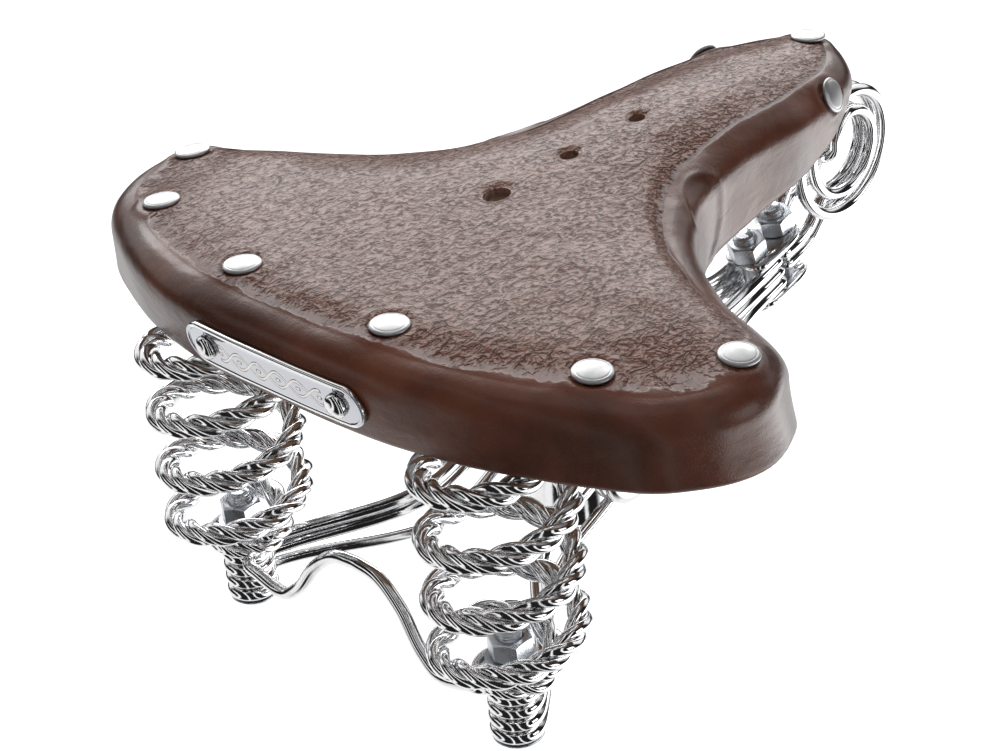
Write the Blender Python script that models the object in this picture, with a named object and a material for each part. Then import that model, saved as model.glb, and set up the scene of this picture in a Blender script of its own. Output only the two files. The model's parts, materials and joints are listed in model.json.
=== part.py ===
"""A sprung leather bicycle saddle with a triple-wire frame, in metres, +Z up and +Y forwards.

The origin is the middle of the seat-post clip: its cross bolt lies on the X axis.
The leather cover is one moulded skin over two steel plates; rope springs carry its rear,
and two nested coils of plain wire carry its nose.
"""

import math

import bmesh
import bpy
import numpy as np
from mathutils import Matrix, Vector

MM = 0.001
GAP = 0.3

# Leather: the rim is the line where the top turns over into the skirt.
# Each row is x and y of the rim on the right, the skirt's depth, and how far it leans out.
RIM = [
    (0, -93, 27, -4),
    (40, -90, 26.5, -3),
    (79, -76, 25, -1),
    (100, -61, 24, 1),
    (106.5, -45, 24, 2),
    (99, -28.5, 24.5, 2),
    (69, -13.5, 25.5, 1),
    (41.5, 6, 28, 0.5),
    (27.5, 28, 30, 0),
    (21.5, 58, 29, 0.5),
    (20, 88, 25, -0.5),
    (16, 108, 19, -1),
    (8.5, 122, 14, -1),
    (0, 127, 13, -1),
]
ROLL_OUT = 9
ROLL_DOWN = 11
LEATHER = 4.5
AROUND = 64
CREST = 95.2
NOSE_FALL = 5.2
SPINE = (-48, 110)
SPINE_POWER = 1.8
VENTS = ((-15, 9, 7), (15, 6, 5), (44.5, 5.5, 4.5))

# Steel plates under the leather
CANTLE = 2.5
PLATE_GAP = 0.9
NOSE_STEEL = 2.0
REAR_RIVETS = ((28, -84), (81.5, -68), (103, -38.5))
# The nose rivets, as places around the right half and across the rolled edge
NOSE_RIVET = (1, 0.97)
FLANK_RIVET = (0.91, 1.7)
RIVET_HEAD = 5.4
RIVET_DOME = 1.5
RIVET_SHANK = 2.0
RIVET_FLARE = 2.3
RIVET_TAIL = 0.8
FLANK_TAIL = 2.0
BADGE_THICK = 1.0
BADGE_AROUND = 0.043
BADGE_ACROSS = 2.3
BADGE_SPAN = 0.42
BADGE_RIVET = 0.035
BADGE_SHANK = 1.4

# Rear springs and the stacked eyes below them
SPRING_X = 54
SPRING_Y = -78
ROPE = 3.5
TURNS = 4.9
SPRING_FOOT = -5.3
SPRING_HEAD = 80.7
SPRING_START = -30
EYE_TURN = 0.62
# How the rope leaves its two eyes: turns from the eye, rise or drop, and radius
SPRING_LOW = (
    (0, 0, 7.8),
    (0.12, 0.3, 10),
    (0.3, 4, 13.2),
    (0.45, 7.8, 15.5),
    (0.71, 8.8, 19.2),
    (1.46, 20.9, 19.2),
)
SPRING_HIGH = ((0, 0, 7.8), (0.2, 3.8, 8.5), (0.55, 10.5, 12.5), (0.95, 18, 19.2), (1.19, 22.4, 19.2))
WIRE = 2
RING_R = 5.9
RING_TOP = -11.1
BOLT_R = 3.5
NUT_AF = 11
NUT_TALL = 6

RING_STEP = 2 * WIRE + GAP
EYE_CUT = 87
EYE_ROUND = 300
WASHER = 1.5
WASHER_R = 7.2
STUD_NECK = 2.5
STUD_R = 2.8
STUD_FLANGE = 6
STUD_AF = 8.2
# The cross wire's middle, as x and the height above the eyes
CROSS_HUMP = ((46, -0.5), (30, -2.5), (25, 1.5), (17, 12), (8, 18.5), (0, 19.5))

# Clip: the rails run straight and parallel through it at this slope
RAIL_TILT = math.radians(22)
RAIL_X = 21
RAIL_OFFSETS = (10.7, 6.1, -6.1)
RAIL_HALF = 28
CLIP_ALONG = 8.6
COLLAR_R = 15
BORE_R = 11.1
COLLAR_FOOT = -22
COLLAR_TOP = 15
CHEEK_R = 12.8
CHEEK_THICK = 4.5
HUB_R = 12
HUB_HALF = 16.5
CLIP_BOLT_R = 3.5

# Front clamp, where the rails meet the wires of the nose coils
CLAMP_X = 6.4
CLAMP_MIDDLE = 103
CLAMP_Z = 21
CLAMP_TILT = math.radians(14)
CLAMP_HALF = 12.5
BOLT_STEP = 14.5
PLATE_THICK = 2

# Nose coils: each wire loops from lower rear, under and over, to a cross bar below the nose
COIL_Y = 127.3
COIL_Z = 53.7
COIL_OUTER = 20.4
COIL_INNER = 14
COIL_START = -90
COIL_ROUND = 540
# The x where the loops start and end, and the outer wire's way from there to the middle
COIL_SHIFT = (7.2, 14.2)
OVER = ((14.2, 122, 73.8), (13.7, 118.5, 74.6), (11, 116.6, 75.6), (8, 116.5, 75.2), (5.2, 116.5, 73))
# The inner wire curls in to this radius and angle before it crosses over
CURL = (8, 510)
BAR_HALF = 3
BAR_OUTER = (116.5, 71.5)
BAR_INNER = (118.6, 54)

# The shackle block hangs the nose on the two cross bars and holds the tension bolt
SHACKLE_X = 3
SHACKLE_REAR = 112.5
SHACKLE_FRONT = 122
SHACKLE_FOOT = 50.5
SHACKLE_HEAD = 80
TENSION_Z = 76.6
TENSION_R = 2
TENSION_TAIL = 98
TENSION_HEAD = 124.6
TENSION_NUT = 7
TENSION_NUT_TALL = 4.5

FINISHES = {
    "leather": ((0.115, 0.036, 0.02, 1), 0.35, 0.0),
    "chrome": ((0.8, 0.8, 0.82, 1), 0.12, 1.0),
    "zinc": ((0.55, 0.58, 0.63, 1), 0.35, 1.0),
    "steel": ((0.35, 0.35, 0.36, 1), 0.4, 1.0),
    "silver": ((0.82, 0.82, 0.8, 1), 0.25, 1.0),
}


def finish(name):
    """A Principled material for one of the saddle's finishes."""
    found = bpy.data.materials.get(name)
    if found:
        return found
    colour, rough, metal = FINISHES[name]
    material = bpy.data.materials.new(name)
    material.use_nodes = True
    shader = material.node_tree.nodes["Principled BSDF"]
    shader.inputs["Base Color"].default_value = colour
    shader.inputs["Roughness"].default_value = rough
    shader.inputs["Metallic"].default_value = metal
    material.diffuse_color = colour
    return material


def own_finish(obj, name):
    """Gives the object its own copy of a finish, named after it."""
    material = finish(name).copy()
    material.name = obj.name
    obj.data.materials.append(material)


def add_mesh(name, points, faces, look, smooth=40):
    """A mesh object from points in millimetres and faces, with its normals outward."""
    mesh = bpy.data.meshes.new(name)
    mesh.from_pydata([tuple(float(c) * MM for c in p) for p in points], [], faces)
    body = bmesh.new()
    body.from_mesh(mesh)
    bmesh.ops.remove_doubles(body, verts=body.verts, dist=0.01 * MM)
    bmesh.ops.recalc_face_normals(body, faces=body.faces)
    body.to_mesh(mesh)
    body.free()
    mesh.shade_smooth()
    mesh.set_sharp_from_angle(angle=math.radians(smooth))
    obj = bpy.data.objects.new(name, mesh)
    bpy.context.scene.collection.objects.link(obj)
    if look:
        own_finish(obj, look)
    return obj


def smoothstep(low, high, value):
    share = np.clip((value - low) / (high - low), 0, 1)
    return share * share * (3 - 2 * share)


def curve_through(knots, count, first=None, last=None):
    """Points at equal arc lengths on a smooth cubic through the knots (rows of numbers)."""
    knots = np.asarray(knots, float)
    chord = np.linalg.norm(np.diff(knots[:, :3], axis=0), axis=1)
    at = np.concatenate([[0], np.cumsum(chord)])
    slope = np.gradient(knots, at, axis=0)
    if first is not None:
        slope[0, : len(first)] = first
    if last is not None:
        slope[-1, : len(last)] = last
    fine = np.linspace(0, at[-1], 40 * len(knots))
    span = np.clip(np.searchsorted(at, fine, side="right") - 1, 0, len(at) - 2)
    width = (at[span + 1] - at[span])[:, None]
    u = (fine[:, None] - at[span][:, None]) / width
    points = (
        (1 + 2 * u) * (1 - u) ** 2 * knots[span]
        + u * (1 - u) ** 2 * width * slope[span]
        + u * u * (3 - 2 * u) * knots[span + 1]
        + u * u * (u - 1) * width * slope[span + 1]
    )
    steps = np.linalg.norm(np.diff(points[:, :3], axis=0), axis=1)
    length = np.concatenate([[0], np.cumsum(steps)])
    even = np.linspace(0, length[-1], count)
    return np.stack([np.interp(even, length, points[:, k]) for k in range(points.shape[1])], 1)


def top_height(x, y):
    """Height of the cover's top: level at the rear, falling and more crowned at the nose."""
    crown = 0.0005 + 0.0045 * smoothstep(-35, 40, y)
    return CREST - NOSE_FALL * smoothstep(50, 150, y) - crown * x * x


def rim_at(share):
    """Rim rows at shares 0 (rear centre) to 1 (nose tip) of its right half."""
    rows = curve_through([(x, y, 0, d, lean) for x, y, d, lean in RIM], 400, (1, 0), (-1, 0))
    along = np.linspace(0, 1, len(rows))
    return np.stack([np.interp(share, along, rows[:, k]) for k in (0, 1, 3, 4)], -1)


def cover(around, across):
    """Points of the cover's outer face.

    around runs 0 to 1 counter-clockwise from the rear centre; across runs 0 (spine) to
    1 (rim), to 2 (foot of the rolled edge) and 3 (the skirt's cut edge).
    """
    around, across = np.broadcast_arrays(np.mod(around, 1), across)
    left = around > 0.5
    share = np.where(left, 2 - 2 * around, 2 * around)
    side = np.where(left, -1.0, 1.0)
    rim = rim_at(share)
    step = rim_at(np.clip(share + 0.004, 0, 1)) - rim_at(np.clip(share - 0.004, 0, 1))
    size = np.hypot(step[..., 0], step[..., 1])
    out = np.stack([step[..., 1] / size, -step[..., 0] / size], -1)
    spine = SPINE[0] + (SPINE[1] - SPINE[0]) * share**SPINE_POWER
    inward = np.clip(across, 0, 1)
    x = rim[..., 0] * inward
    y = spine + (rim[..., 1] - spine) * inward
    turn = np.clip(across - 1, 0, 1) * math.pi / 2
    fall = np.clip(across - 2, 0, 1)
    offset = ROLL_OUT * np.sin(turn) + rim[..., 3] * fall**1.5
    x = x + out[..., 0] * offset
    y = y + out[..., 1] * offset
    z = top_height(rim[..., 0] * inward, np.minimum(y, rim[..., 1].max()))
    z = z - ROLL_DOWN * (1 - np.cos(turn)) - (rim[..., 2] - ROLL_DOWN) * fall
    return np.stack([x * side, y, z], -1)


def cover_normal(around, across):
    """Outward unit normals of the cover."""
    d = 0.003
    a = cover(np.asarray(around) + d, across) - cover(np.asarray(around) - d, across)
    b = cover(around, np.asarray(across) + 0.02) - cover(around, np.asarray(across) - 0.02)
    n = np.cross(b, a)
    flat = np.linalg.norm(n, axis=-1, keepdims=True)
    n = np.where(flat > 1e-9, n / np.maximum(flat, 1e-9), [0.0, 0.0, 1.0])
    return np.where((across < 0.02)[..., None], [0.0, 0.0, 1.0], n)


def skin(name, around, across, near, far, look, ring=False, spine=False):
    """A closed sheet between two offsets inward from the cover's outer face."""
    a, b = np.meshgrid(around, across, indexing="ij")
    base = cover(a, b)
    normal = cover_normal(a, b)
    layers = [(base - normal * depth).reshape(-1, 3) for depth in (near, far)]
    rows, cols = a.shape
    count = rows * cols
    faces = []
    for i in range(rows if ring else rows - 1):
        k = (i + 1) % rows
        for j in range(cols - 1):
            quad = (i * cols + j, k * cols + j, k * cols + j + 1, i * cols + j + 1)
            faces.append(quad)
            faces.append(tuple(p + count for p in reversed(quad)))
        edge = (i * cols + cols - 1, k * cols + cols - 1)
        faces.append((edge[0], edge[1], edge[1] + count, edge[0] + count))
        if not spine:
            faces.append((k * cols, i * cols, i * cols + count, k * cols + count))
    if not ring:
        for j in range(cols - 1):
            low = (j, j + 1)
            high = ((rows - 1) * cols + j + 1, (rows - 1) * cols + j)
            for pair in (low, high):
                faces.append((pair[0], pair[1], pair[1] + count, pair[0] + count))
    return add_mesh(name, np.concatenate(layers), faces, look)


def drop_degenerate(obj):
    """Removes the flat faces that a shared spine leaves behind."""
    body = bmesh.new()
    body.from_mesh(obj.data)
    bmesh.ops.dissolve_degenerate(body, dist=0.005 * MM, edges=body.edges)
    bmesh.ops.recalc_face_normals(body, faces=body.faces)
    body.to_mesh(obj.data)
    body.free()


def wire(name, points, radius, look, sides=6):
    """A round wire along points in millimetres, with filled ends."""
    curve = bpy.data.curves.new(name, "CURVE")
    curve.dimensions = "3D"
    curve.bevel_depth = radius * MM
    curve.bevel_resolution = sides // 2 - 2
    curve.use_fill_caps = True
    spline = curve.splines.new("POLY")
    spline.points.add(len(points) - 1)
    for point, place in zip(spline.points, points):
        point.co = (*[float(c) * MM for c in place], 1)
    obj = bpy.data.objects.new(name, curve)
    bpy.context.scene.collection.objects.link(obj)
    own_finish(obj, look)
    return obj


def turned(name, profile, look, sides=12, place=None):
    """A solid of revolution about its own Z from (radius, height) pairs, bottom to top."""
    points = []
    rings = []
    for radius, height in profile:
        if radius == 0:
            rings.append([len(points)])
            points.append((0, 0, height))
            continue
        rings.append(list(range(len(points), len(points) + sides)))
        for k in range(sides):
            angle = 2 * math.pi * k / sides
            points.append((radius * math.cos(angle), radius * math.sin(angle), height))
    faces = []
    for low, high in zip(rings, rings[1:]):
        for k in range(sides):
            m = (k + 1) % sides
            corners = [low[k % len(low)], low[m % len(low)], high[m % len(high)], high[k % len(high)]]
            faces.append(tuple(dict.fromkeys(corners)))
    for ring in (rings[0], rings[-1]):
        if len(ring) > 1 and profile[0] != profile[-1]:
            faces.append(tuple(ring))
    obj = add_mesh(name, points, faces, look)
    if place is not None:
        obj.matrix_world = place
    return obj


def nut(name, across_flats, bore, tall, look, place):
    """A hexagonal nut about its own Z, standing on its own XY plane."""
    points = []
    for hole in (False, True):
        for height in (0, tall):
            for k in range(12):
                turn = math.radians(30 * k)
                flat = across_flats / 2 / math.cos(math.radians(30 * (k % 2)))
                radius = bore if hole else flat
                points.append((radius * math.cos(turn), radius * math.sin(turn), height))
    faces = []
    for k in range(12):
        m = (k + 1) % 12
        faces.append((k, m, m + 12, k + 12))
        faces.append((m + 24, k + 24, k + 36, m + 36))
        faces.append((m, k, k + 24, m + 24))
        faces.append((k + 12, m + 12, m + 36, k + 36))
    obj = add_mesh(name, points, faces, look, 20)
    obj.matrix_world = place
    return obj


def at(x, y, z, axis=(0, 0, 1)):
    """A placing matrix: the piece's own Z turned to the axis, then moved, in millimetres."""
    turn = Vector((0, 0, 1)).rotation_difference(Vector(axis)).to_matrix().to_4x4()
    return Matrix.Translation(Vector((x, y, z)) * MM) @ turn


def cut(obj, cutter):
    """Subtracts a guide from an object."""
    cutter.hide_render = True
    cutter.display_type = "WIRE"
    change = obj.modifiers.new("hole", "BOOLEAN")
    change.object = cutter
    change.operation = "DIFFERENCE"
    change.solver = "EXACT"


def drill(obj, radius, low, high, place, sides=12):
    """Bores a round hole from low to high along the placing matrix's Z."""
    tool = turned(f"{obj.name}_drill", [(radius, low), (radius, high)], None, sides, place)
    cut(obj, tool)


def union(obj, other):
    other.hide_render = True
    other.display_type = "WIRE"
    change = obj.modifiers.new("weld", "BOOLEAN")
    change.object = other
    change.operation = "UNION"
    change.solver = "EXACT"


def surface_place(x, y):
    """A placing matrix on the cover's top at x, y, with Z along the outward normal."""
    step = 0.5
    dx = (top_height(x + step, y) - top_height(x - step, y)) / (2 * step)
    dy = (top_height(x, y + step) - top_height(x, y - step)) / (2 * step)
    return at(x, y, float(top_height(x, y)), (-dx, -dy, 1))


def skirt_place(around, across):
    """A placing matrix on the skirt, with Z along the outward normal."""
    point = cover(np.array([around]), np.array([across]))[0]
    normal = cover_normal(np.array([around]), np.array([across]))[0]
    return at(*point, axis=normal)


def rivet(name, place, depth, lift=GAP):
    """A flat-domed rivet whose shank passes through depth of leather and steel."""
    profile = [
        (0, -depth - 1.2),
        (2, -depth - 1),
        (RIVET_FLARE, -depth),
        (RIVET_SHANK, -depth),
        (RIVET_SHANK, lift),
        (RIVET_HEAD, lift),
        (RIVET_HEAD - 0.6, lift + 0.8),
        (0, lift + RIVET_DOME),
    ]
    return turned(name, profile, "silver", 12, place)


def make_leather():
    across = [0, 0.3, 0.6, 0.85, 1, 1.35, 1.7, 2, 2.5, 3]
    leather = skin("leather_cover", np.arange(AROUND) / AROUND, across, 0, LEATHER, "leather", True, True)
    drop_degenerate(leather)
    for y, long, wide in VENTS:
        place = at(0, y, CREST)
        tool = turned("vent_punch", [(1, -12), (1, 12)], None, 14, place)
        tool.scale = (wide / 2, long / 2, 1)
        cut(leather, tool)
    return leather


def make_plates():
    """The cantle plate under the rear of the cover and the nose plate under its tip."""
    inner = LEATHER + PLATE_GAP
    cantle_around = np.arange(-15, 16) / AROUND
    across = [0.6, 0.85, 0.98]
    cantle = skin("cantle_plate", cantle_around, across, inner, inner + CANTLE, "steel")
    nose_around = np.arange(AROUND / 2 - 4, AROUND / 2 + 5) / AROUND
    nose_across = [0, 0.3, 0.6, 0.85, 1, 1.35, 1.7, 2, 2.5]
    nose = skin(
        "nose_plate", nose_around, nose_across, inner, inner + NOSE_STEEL, "steel", spine=True
    )
    drop_degenerate(nose)
    return cantle, nose


def make_rivets(leather, cantle, nose):
    depth = LEATHER + PLATE_GAP
    for side, word in ((-1, "left"), (1, "right")):
        for (x, y), spot in zip(REAR_RIVETS, ("inner", "middle", "outer")):
            place = surface_place(side * x, y)
            rivet(f"rivet_rear_{spot}_{word}", place, depth + CANTLE + RIVET_TAIL)
            drill(leather, RIVET_SHANK + GAP, -8, 4, place)
            drill(cantle, RIVET_SHANK + GAP, -12, 0, place)
        around = FLANK_RIVET[0] / 2 if side > 0 else 1 - FLANK_RIVET[0] / 2
        place = skirt_place(around, FLANK_RIVET[1])
        rivet(f"rivet_nose_{word}", place, depth + NOSE_STEEL + FLANK_TAIL)
        drill(leather, RIVET_SHANK + GAP, -8, 4, place)
        drill(nose, RIVET_SHANK + GAP, -12, 0, place)
    place = skirt_place(NOSE_RIVET[0] / 2, NOSE_RIVET[1])
    rivet("rivet_nose_top", place, depth + NOSE_STEEL + FLANK_TAIL, 2 * GAP)
    drill(leather, RIVET_SHANK + GAP, -8, 4, place)
    drill(nose, RIVET_SHANK + GAP, -12, 0, place)


def spring_path(side):
    """The rope's middle: an eye, a flat opening turn, even turns and the same end above."""
    count = 12
    low = np.array(SPRING_LOW)
    high = np.array(SPRING_HIGH)[::-1]
    turn = np.concatenate([low[:, 0], TURNS - high[:, 0]])
    climb = np.concatenate([SPRING_FOOT + low[:, 1], SPRING_HEAD - high[:, 1]])
    reach = np.concatenate([low[:, 2], high[:, 2]])
    points = []
    for k in range(-round(EYE_TURN * count), round((TURNS + EYE_TURN) * count) + 1):
        height = np.interp(k / count, turn, climb)
        radius = np.interp(k / count, turn, reach)
        angle = math.radians(SPRING_START) + 2 * math.pi * k / count
        x = side * SPRING_X + radius * math.cos(angle)
        y = SPRING_Y + radius * math.sin(angle)
        points.append((x, y, height))
    return points


def ring_path(side, height, start, turn, count=9):
    """A wire eye round a rear bolt, from the start angle through the given turn in degrees."""
    points = []
    for k in range(count + 1):
        angle = math.radians(start + turn * k / count)
        x = SPRING_X + RING_R * math.cos(angle)
        y = SPRING_Y + RING_R * math.sin(angle)
        points.append((side * x, y, height))
    return points


def along_rail(x, offset, distance):
    """A point in the clip's own slanted frame."""
    y = distance * math.cos(RAIL_TILT) - offset * math.sin(RAIL_TILT)
    z = distance * math.sin(RAIL_TILT) + offset * math.cos(RAIL_TILT)
    return (x, y, z)


def in_clamp(x, layer, distance):
    """A point in the front clamp's slanted frame; layer counts wires up from the middle."""
    offset = layer * (2 * WIRE + GAP)
    y = CLAMP_MIDDLE + distance * math.cos(CLAMP_TILT) - offset * math.sin(CLAMP_TILT)
    z = CLAMP_Z + distance * math.sin(CLAMP_TILT) + offset * math.cos(CLAMP_TILT)
    return (x, y, z)


def make_rails():
    """Three wires on each side, from a stacked rear eye through the clip to the clamp."""
    for side, word in ((-1, "left"), (1, "right")):
        for layer, spot in enumerate(("upper", "middle", "lower")):
            height = RING_TOP - (layer + 1) * RING_STEP
            eye = ring_path(side, height, EYE_CUT, EYE_ROUND)
            offset = RAIL_OFFSETS[layer]
            ends = (CLIP_ALONG - RAIL_HALF, CLIP_ALONG + RAIL_HALF)
            straight = [along_rail(side * RAIL_X, offset, d) for d in ends]
            front = [in_clamp(side * CLAMP_X, 1 - layer, d) for d in (-CLAMP_HALF, -0.5)]
            run = [eye[-1], *straight, *front]
            route = eye[:-1] + [run[0]]
            route += ease(run[0], run[1], (side * -0.45, 0.9, 0.3), along_rail(0, 0, 1), 5)
            route += [run[1], run[2]]
            toward = in_clamp(0, 0, 1)
            aim = (0, toward[1] - CLAMP_MIDDLE, toward[2] - CLAMP_Z)
            route += ease(run[2], run[3], along_rail(0, 0, 1), aim, 5)
            route += [run[3], run[4]]
            wire(f"rail_{spot}_{word}", route, WIRE, "chrome")


def ease(start, end, start_aim, end_aim, count):
    """Points strictly between two ends on a cubic that leaves and arrives along the aims."""
    start, end = np.array(start, float), np.array(end, float)
    reach = np.linalg.norm(end - start)
    first = np.array(start_aim, float) / np.linalg.norm(start_aim) * reach
    last = np.array(end_aim, float) / np.linalg.norm(end_aim) * reach
    points = []
    for k in range(1, count + 1):
        u = k / (count + 1)
        points.append(
            (1 + 2 * u) * (1 - u) ** 2 * start
            + u * (1 - u) ** 2 * first
            + u * u * (3 - 2 * u) * end
            + u * u * (u - 1) * last
        )
    return [tuple(point) for point in points]


def make_cross_wire():
    """The wire that ties the two rear stacks: eyes at both ends and a raised middle."""
    half = ring_path(1, RING_TOP, 30, -300, 10)
    bend = [(x, SPRING_Y - RING_R + 0.1 * lift, RING_TOP + lift) for x, lift in CROSS_HUMP]
    smooth = [tuple(p) for p in curve_through(bend, 10)]
    right = half[:-1] + smooth
    left = [(-x, y, z) for x, y, z in reversed(right[:-1])]
    wire("rear_cross_wire", right + left, WIRE, "chrome")


def make_springs():
    for side, word in ((-1, "left"), (1, "right")):
        wire(f"rear_spring_{word}", spring_path(side), ROPE, "chrome", 8)


def make_rear_bolts():
    """Below each spring a bolt, a washer and a nut hold the stacked eyes together."""
    stack_foot = RING_TOP - 3 * RING_STEP - WIRE - GAP
    seat = SPRING_FOOT + ROPE + GAP
    for side, word in ((-1, "left"), (1, "right")):
        x = side * SPRING_X
        place = at(x, SPRING_Y, 0)
        tip = seat + WASHER + 2 * GAP + NUT_TALL + 3
        shank = [
            (0, stack_foot - 1.6),
            (6, stack_foot - 1.4),
            (7.5, stack_foot),
            (BOLT_R, stack_foot),
            (BOLT_R, tip - 0.8),
            (BOLT_R - 0.8, tip),
            (0, tip),
        ]
        turned(f"rear_bolt_{word}", shank, "zinc", 12, place)
        washer = [(BOLT_R + GAP, 0), (WASHER_R, 0), (WASHER_R, WASHER), (BOLT_R + GAP, WASHER)]
        turned(f"rear_washer_{word}", [*washer, washer[0]], "zinc", 12, at(x, SPRING_Y, seat))
        spot = at(x, SPRING_Y, seat + WASHER + GAP)
        nut(f"rear_nut_{word}", NUT_AF, BOLT_R + GAP, NUT_TALL, "zinc", spot)


def make_studs(cantle):
    """Above each spring a stud with a nut hangs from the cantle plate and holds its eye."""
    for side, word in ((-1, "left"), (1, "right")):
        x = side * SPRING_X
        place = at(x, SPRING_Y, 0)
        eye = SPRING_HEAD
        under = float(top_height(x, SPRING_Y)) - LEATHER - GAP
        stud = [
            (0, eye - ROPE - GAP - NUT_TALL - 2),
            (STUD_R - 0.8, eye - ROPE - GAP - NUT_TALL - 2),
            (STUD_R, eye - ROPE - GAP - NUT_TALL - 1.2),
            (STUD_R, eye + ROPE + GAP),
            (STUD_FLANGE, eye + ROPE + GAP),
            (STUD_FLANGE, eye + ROPE + 3 * GAP),
            (STUD_NECK, eye + ROPE + 3 * GAP),
            (STUD_NECK, under - 0.8),
            (0, under - 0.8),
        ]
        turned(f"spring_stud_{word}", stud, "zinc", 12, place)
        drill(cantle, STUD_NECK + GAP, under - 8, under + 4, place)
        spot = at(x, SPRING_Y, eye - ROPE - GAP - NUT_TALL)
        nut(f"stud_nut_{word}", STUD_AF, STUD_R + GAP, NUT_TALL, "zinc", spot)


def make_clip():
    """The seat-post clip: a collar, two cheeks on each side and one cross bolt."""
    tube = [
        (BORE_R, COLLAR_FOOT),
        (COLLAR_R, COLLAR_FOOT),
        (COLLAR_R, COLLAR_TOP),
        (BORE_R, COLLAR_TOP),
        (BORE_R, COLLAR_FOOT),
    ]
    collar = turned("clip_collar", tube, "chrome", 32)
    hub = turned("collar_hub", [(HUB_R, -HUB_HALF), (HUB_R, HUB_HALF)], None, 24, at(0, 0, 0, (1, 0, 0)))
    union(collar, hub)
    core = turned("collar_bore", [(BORE_R, COLLAR_FOOT - 5), (BORE_R, COLLAR_TOP + 5)], None, 32)
    cut(collar, core)
    drill(collar, CLIP_BOLT_R + GAP, -40, 40, at(0, 0, 0, (1, 0, 0)), 16)
    inner = HUB_HALF + GAP
    groove = WIRE + GAP
    for side, word in ((-1, "left"), (1, "right")):
        axis = at(0, 0, 0, (side, 0, 0))
        split = RAIL_X
        inner_cheek = [
            (CLIP_BOLT_R + GAP, inner),
            (CHEEK_R - 1.5, inner),
            (CHEEK_R, inner + 1.5),
            (CHEEK_R, split - GAP),
            (CLIP_BOLT_R + GAP, split - GAP),
            (CLIP_BOLT_R + GAP, inner),
        ]
        outer_cheek = [
            (CLIP_BOLT_R + GAP, split + GAP),
            (CHEEK_R, split + GAP),
            (CHEEK_R, split + CHEEK_THICK - 1),
            (CHEEK_R - 3, split + CHEEK_THICK),
            (CLIP_BOLT_R + GAP, split + CHEEK_THICK),
            (CLIP_BOLT_R + GAP, split + GAP),
        ]
        cheeks = [
            turned(f"clip_cheek_inner_{word}", inner_cheek, "chrome", 24, axis),
            turned(f"clip_cheek_outer_{word}", outer_cheek, "chrome", 24, axis),
        ]
        for cheek in cheeks:
            for offset in RAIL_OFFSETS:
                x, y, z = along_rail(side * RAIL_X, offset, 0)
                slope = along_rail(0, 0, 1)
                drill(cheek, groove, -40, 40, at(x, y, z, slope), 8)
        spot = at(side * (RAIL_X + CHEEK_THICK + GAP), 0, 0, (side, 0, 0))
        nut(f"clip_nut_{word}", NUT_AF + 1, CLIP_BOLT_R + GAP, NUT_TALL, "zinc", spot)
    end = RAIL_X + CHEEK_THICK + GAP + NUT_TALL + 2
    bolt = [
        (0, -end),
        (CLIP_BOLT_R - 0.8, -end),
        (CLIP_BOLT_R, -end + 0.8),
        (CLIP_BOLT_R, end - 0.8),
        (CLIP_BOLT_R - 0.8, end),
        (0, end),
    ]
    turned("clip_bolt", bolt, "zinc", 12, at(0, 0, 0, (1, 0, 0)))


def make_clamp():
    """Two plates and two bolts that pinch the rails and the nose coils together."""
    reach = 1.5 * (2 * WIRE + GAP) + GAP
    half_wide = CLAMP_X + WIRE + 0.5
    aim = (0, math.sin(-CLAMP_TILT), math.cos(CLAMP_TILT))
    holes = (-BOLT_STEP / 2, BOLT_STEP / 2)
    for word, low in (("upper", reach), ("lower", -reach - PLATE_THICK)):
        points = []
        faces = []
        count = 24
        for k in range(count):
            angle = 2 * math.pi * (k + 0.5) / count
            x = half_wide * np.sign(math.cos(angle)) * abs(math.cos(angle)) ** 0.6
            y = CLAMP_HALF * np.sign(math.sin(angle)) * abs(math.sin(angle)) ** 0.6
            points += [(x, y, low), (x, y, low + PLATE_THICK)]
            m = (k + 1) % count
            faces.append((2 * k, 2 * m, 2 * m + 1, 2 * k + 1))
        faces += [tuple(range(0, 2 * count, 2)), tuple(range(1, 2 * count, 2))]
        plate = add_mesh(f"front_clamp_{word}", points, faces, "chrome")
        plate.matrix_world = at(0, CLAMP_MIDDLE, CLAMP_Z, aim)
        for distance in holes:
            drill(plate, BOLT_R + GAP, -20, 20, at(*in_clamp(0, 0, distance), axis=aim))
    for distance, word in zip(holes, ("rear", "front")):
        place = at(*in_clamp(0, 0, distance), axis=aim)
        foot = -reach - PLATE_THICK - GAP
        top = reach + PLATE_THICK + GAP
        shank = [
            (0, foot - 3),
            (4.5, foot - 2.6),
            (6, foot - 1),
            (6, foot),
            (BOLT_R, foot),
            (BOLT_R, top + NUT_TALL + 1.7),
            (BOLT_R - 0.8, top + NUT_TALL + 2.5),
            (0, top + NUT_TALL + 2.5),
        ]
        turned(f"clamp_bolt_{word}", shank, "zinc", 12, place)
        spot = place @ Matrix.Translation((0, 0, top * MM))
        nut(f"clamp_nut_{word}", NUT_AF, BOLT_R + GAP, NUT_TALL, "zinc", spot)


def loops(radius, layer):
    """A coil wire's right half, from the clamp through its loops about the coil's axis."""
    aim = (0, math.cos(CLAMP_TILT), math.sin(CLAMP_TILT))
    start = in_clamp(CLAMP_X, layer, 0.5)
    leave = in_clamp(CLAMP_X, layer, CLAMP_HALF - 0.5)
    join = (COIL_SHIFT[0], COIL_Y, COIL_Z - radius)
    route = [start, leave, *ease(leave, join, aim, (0, 1, 0), 3)]
    steps = 20
    for k in range(steps + 1):
        share = k / steps
        angle = math.radians(COIL_START + COIL_ROUND * share)
        x = COIL_SHIFT[0] + (COIL_SHIFT[1] - COIL_SHIFT[0]) * share
        route.append((x, COIL_Y + radius * math.cos(angle), COIL_Z + radius * math.sin(angle)))
    return route


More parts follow.
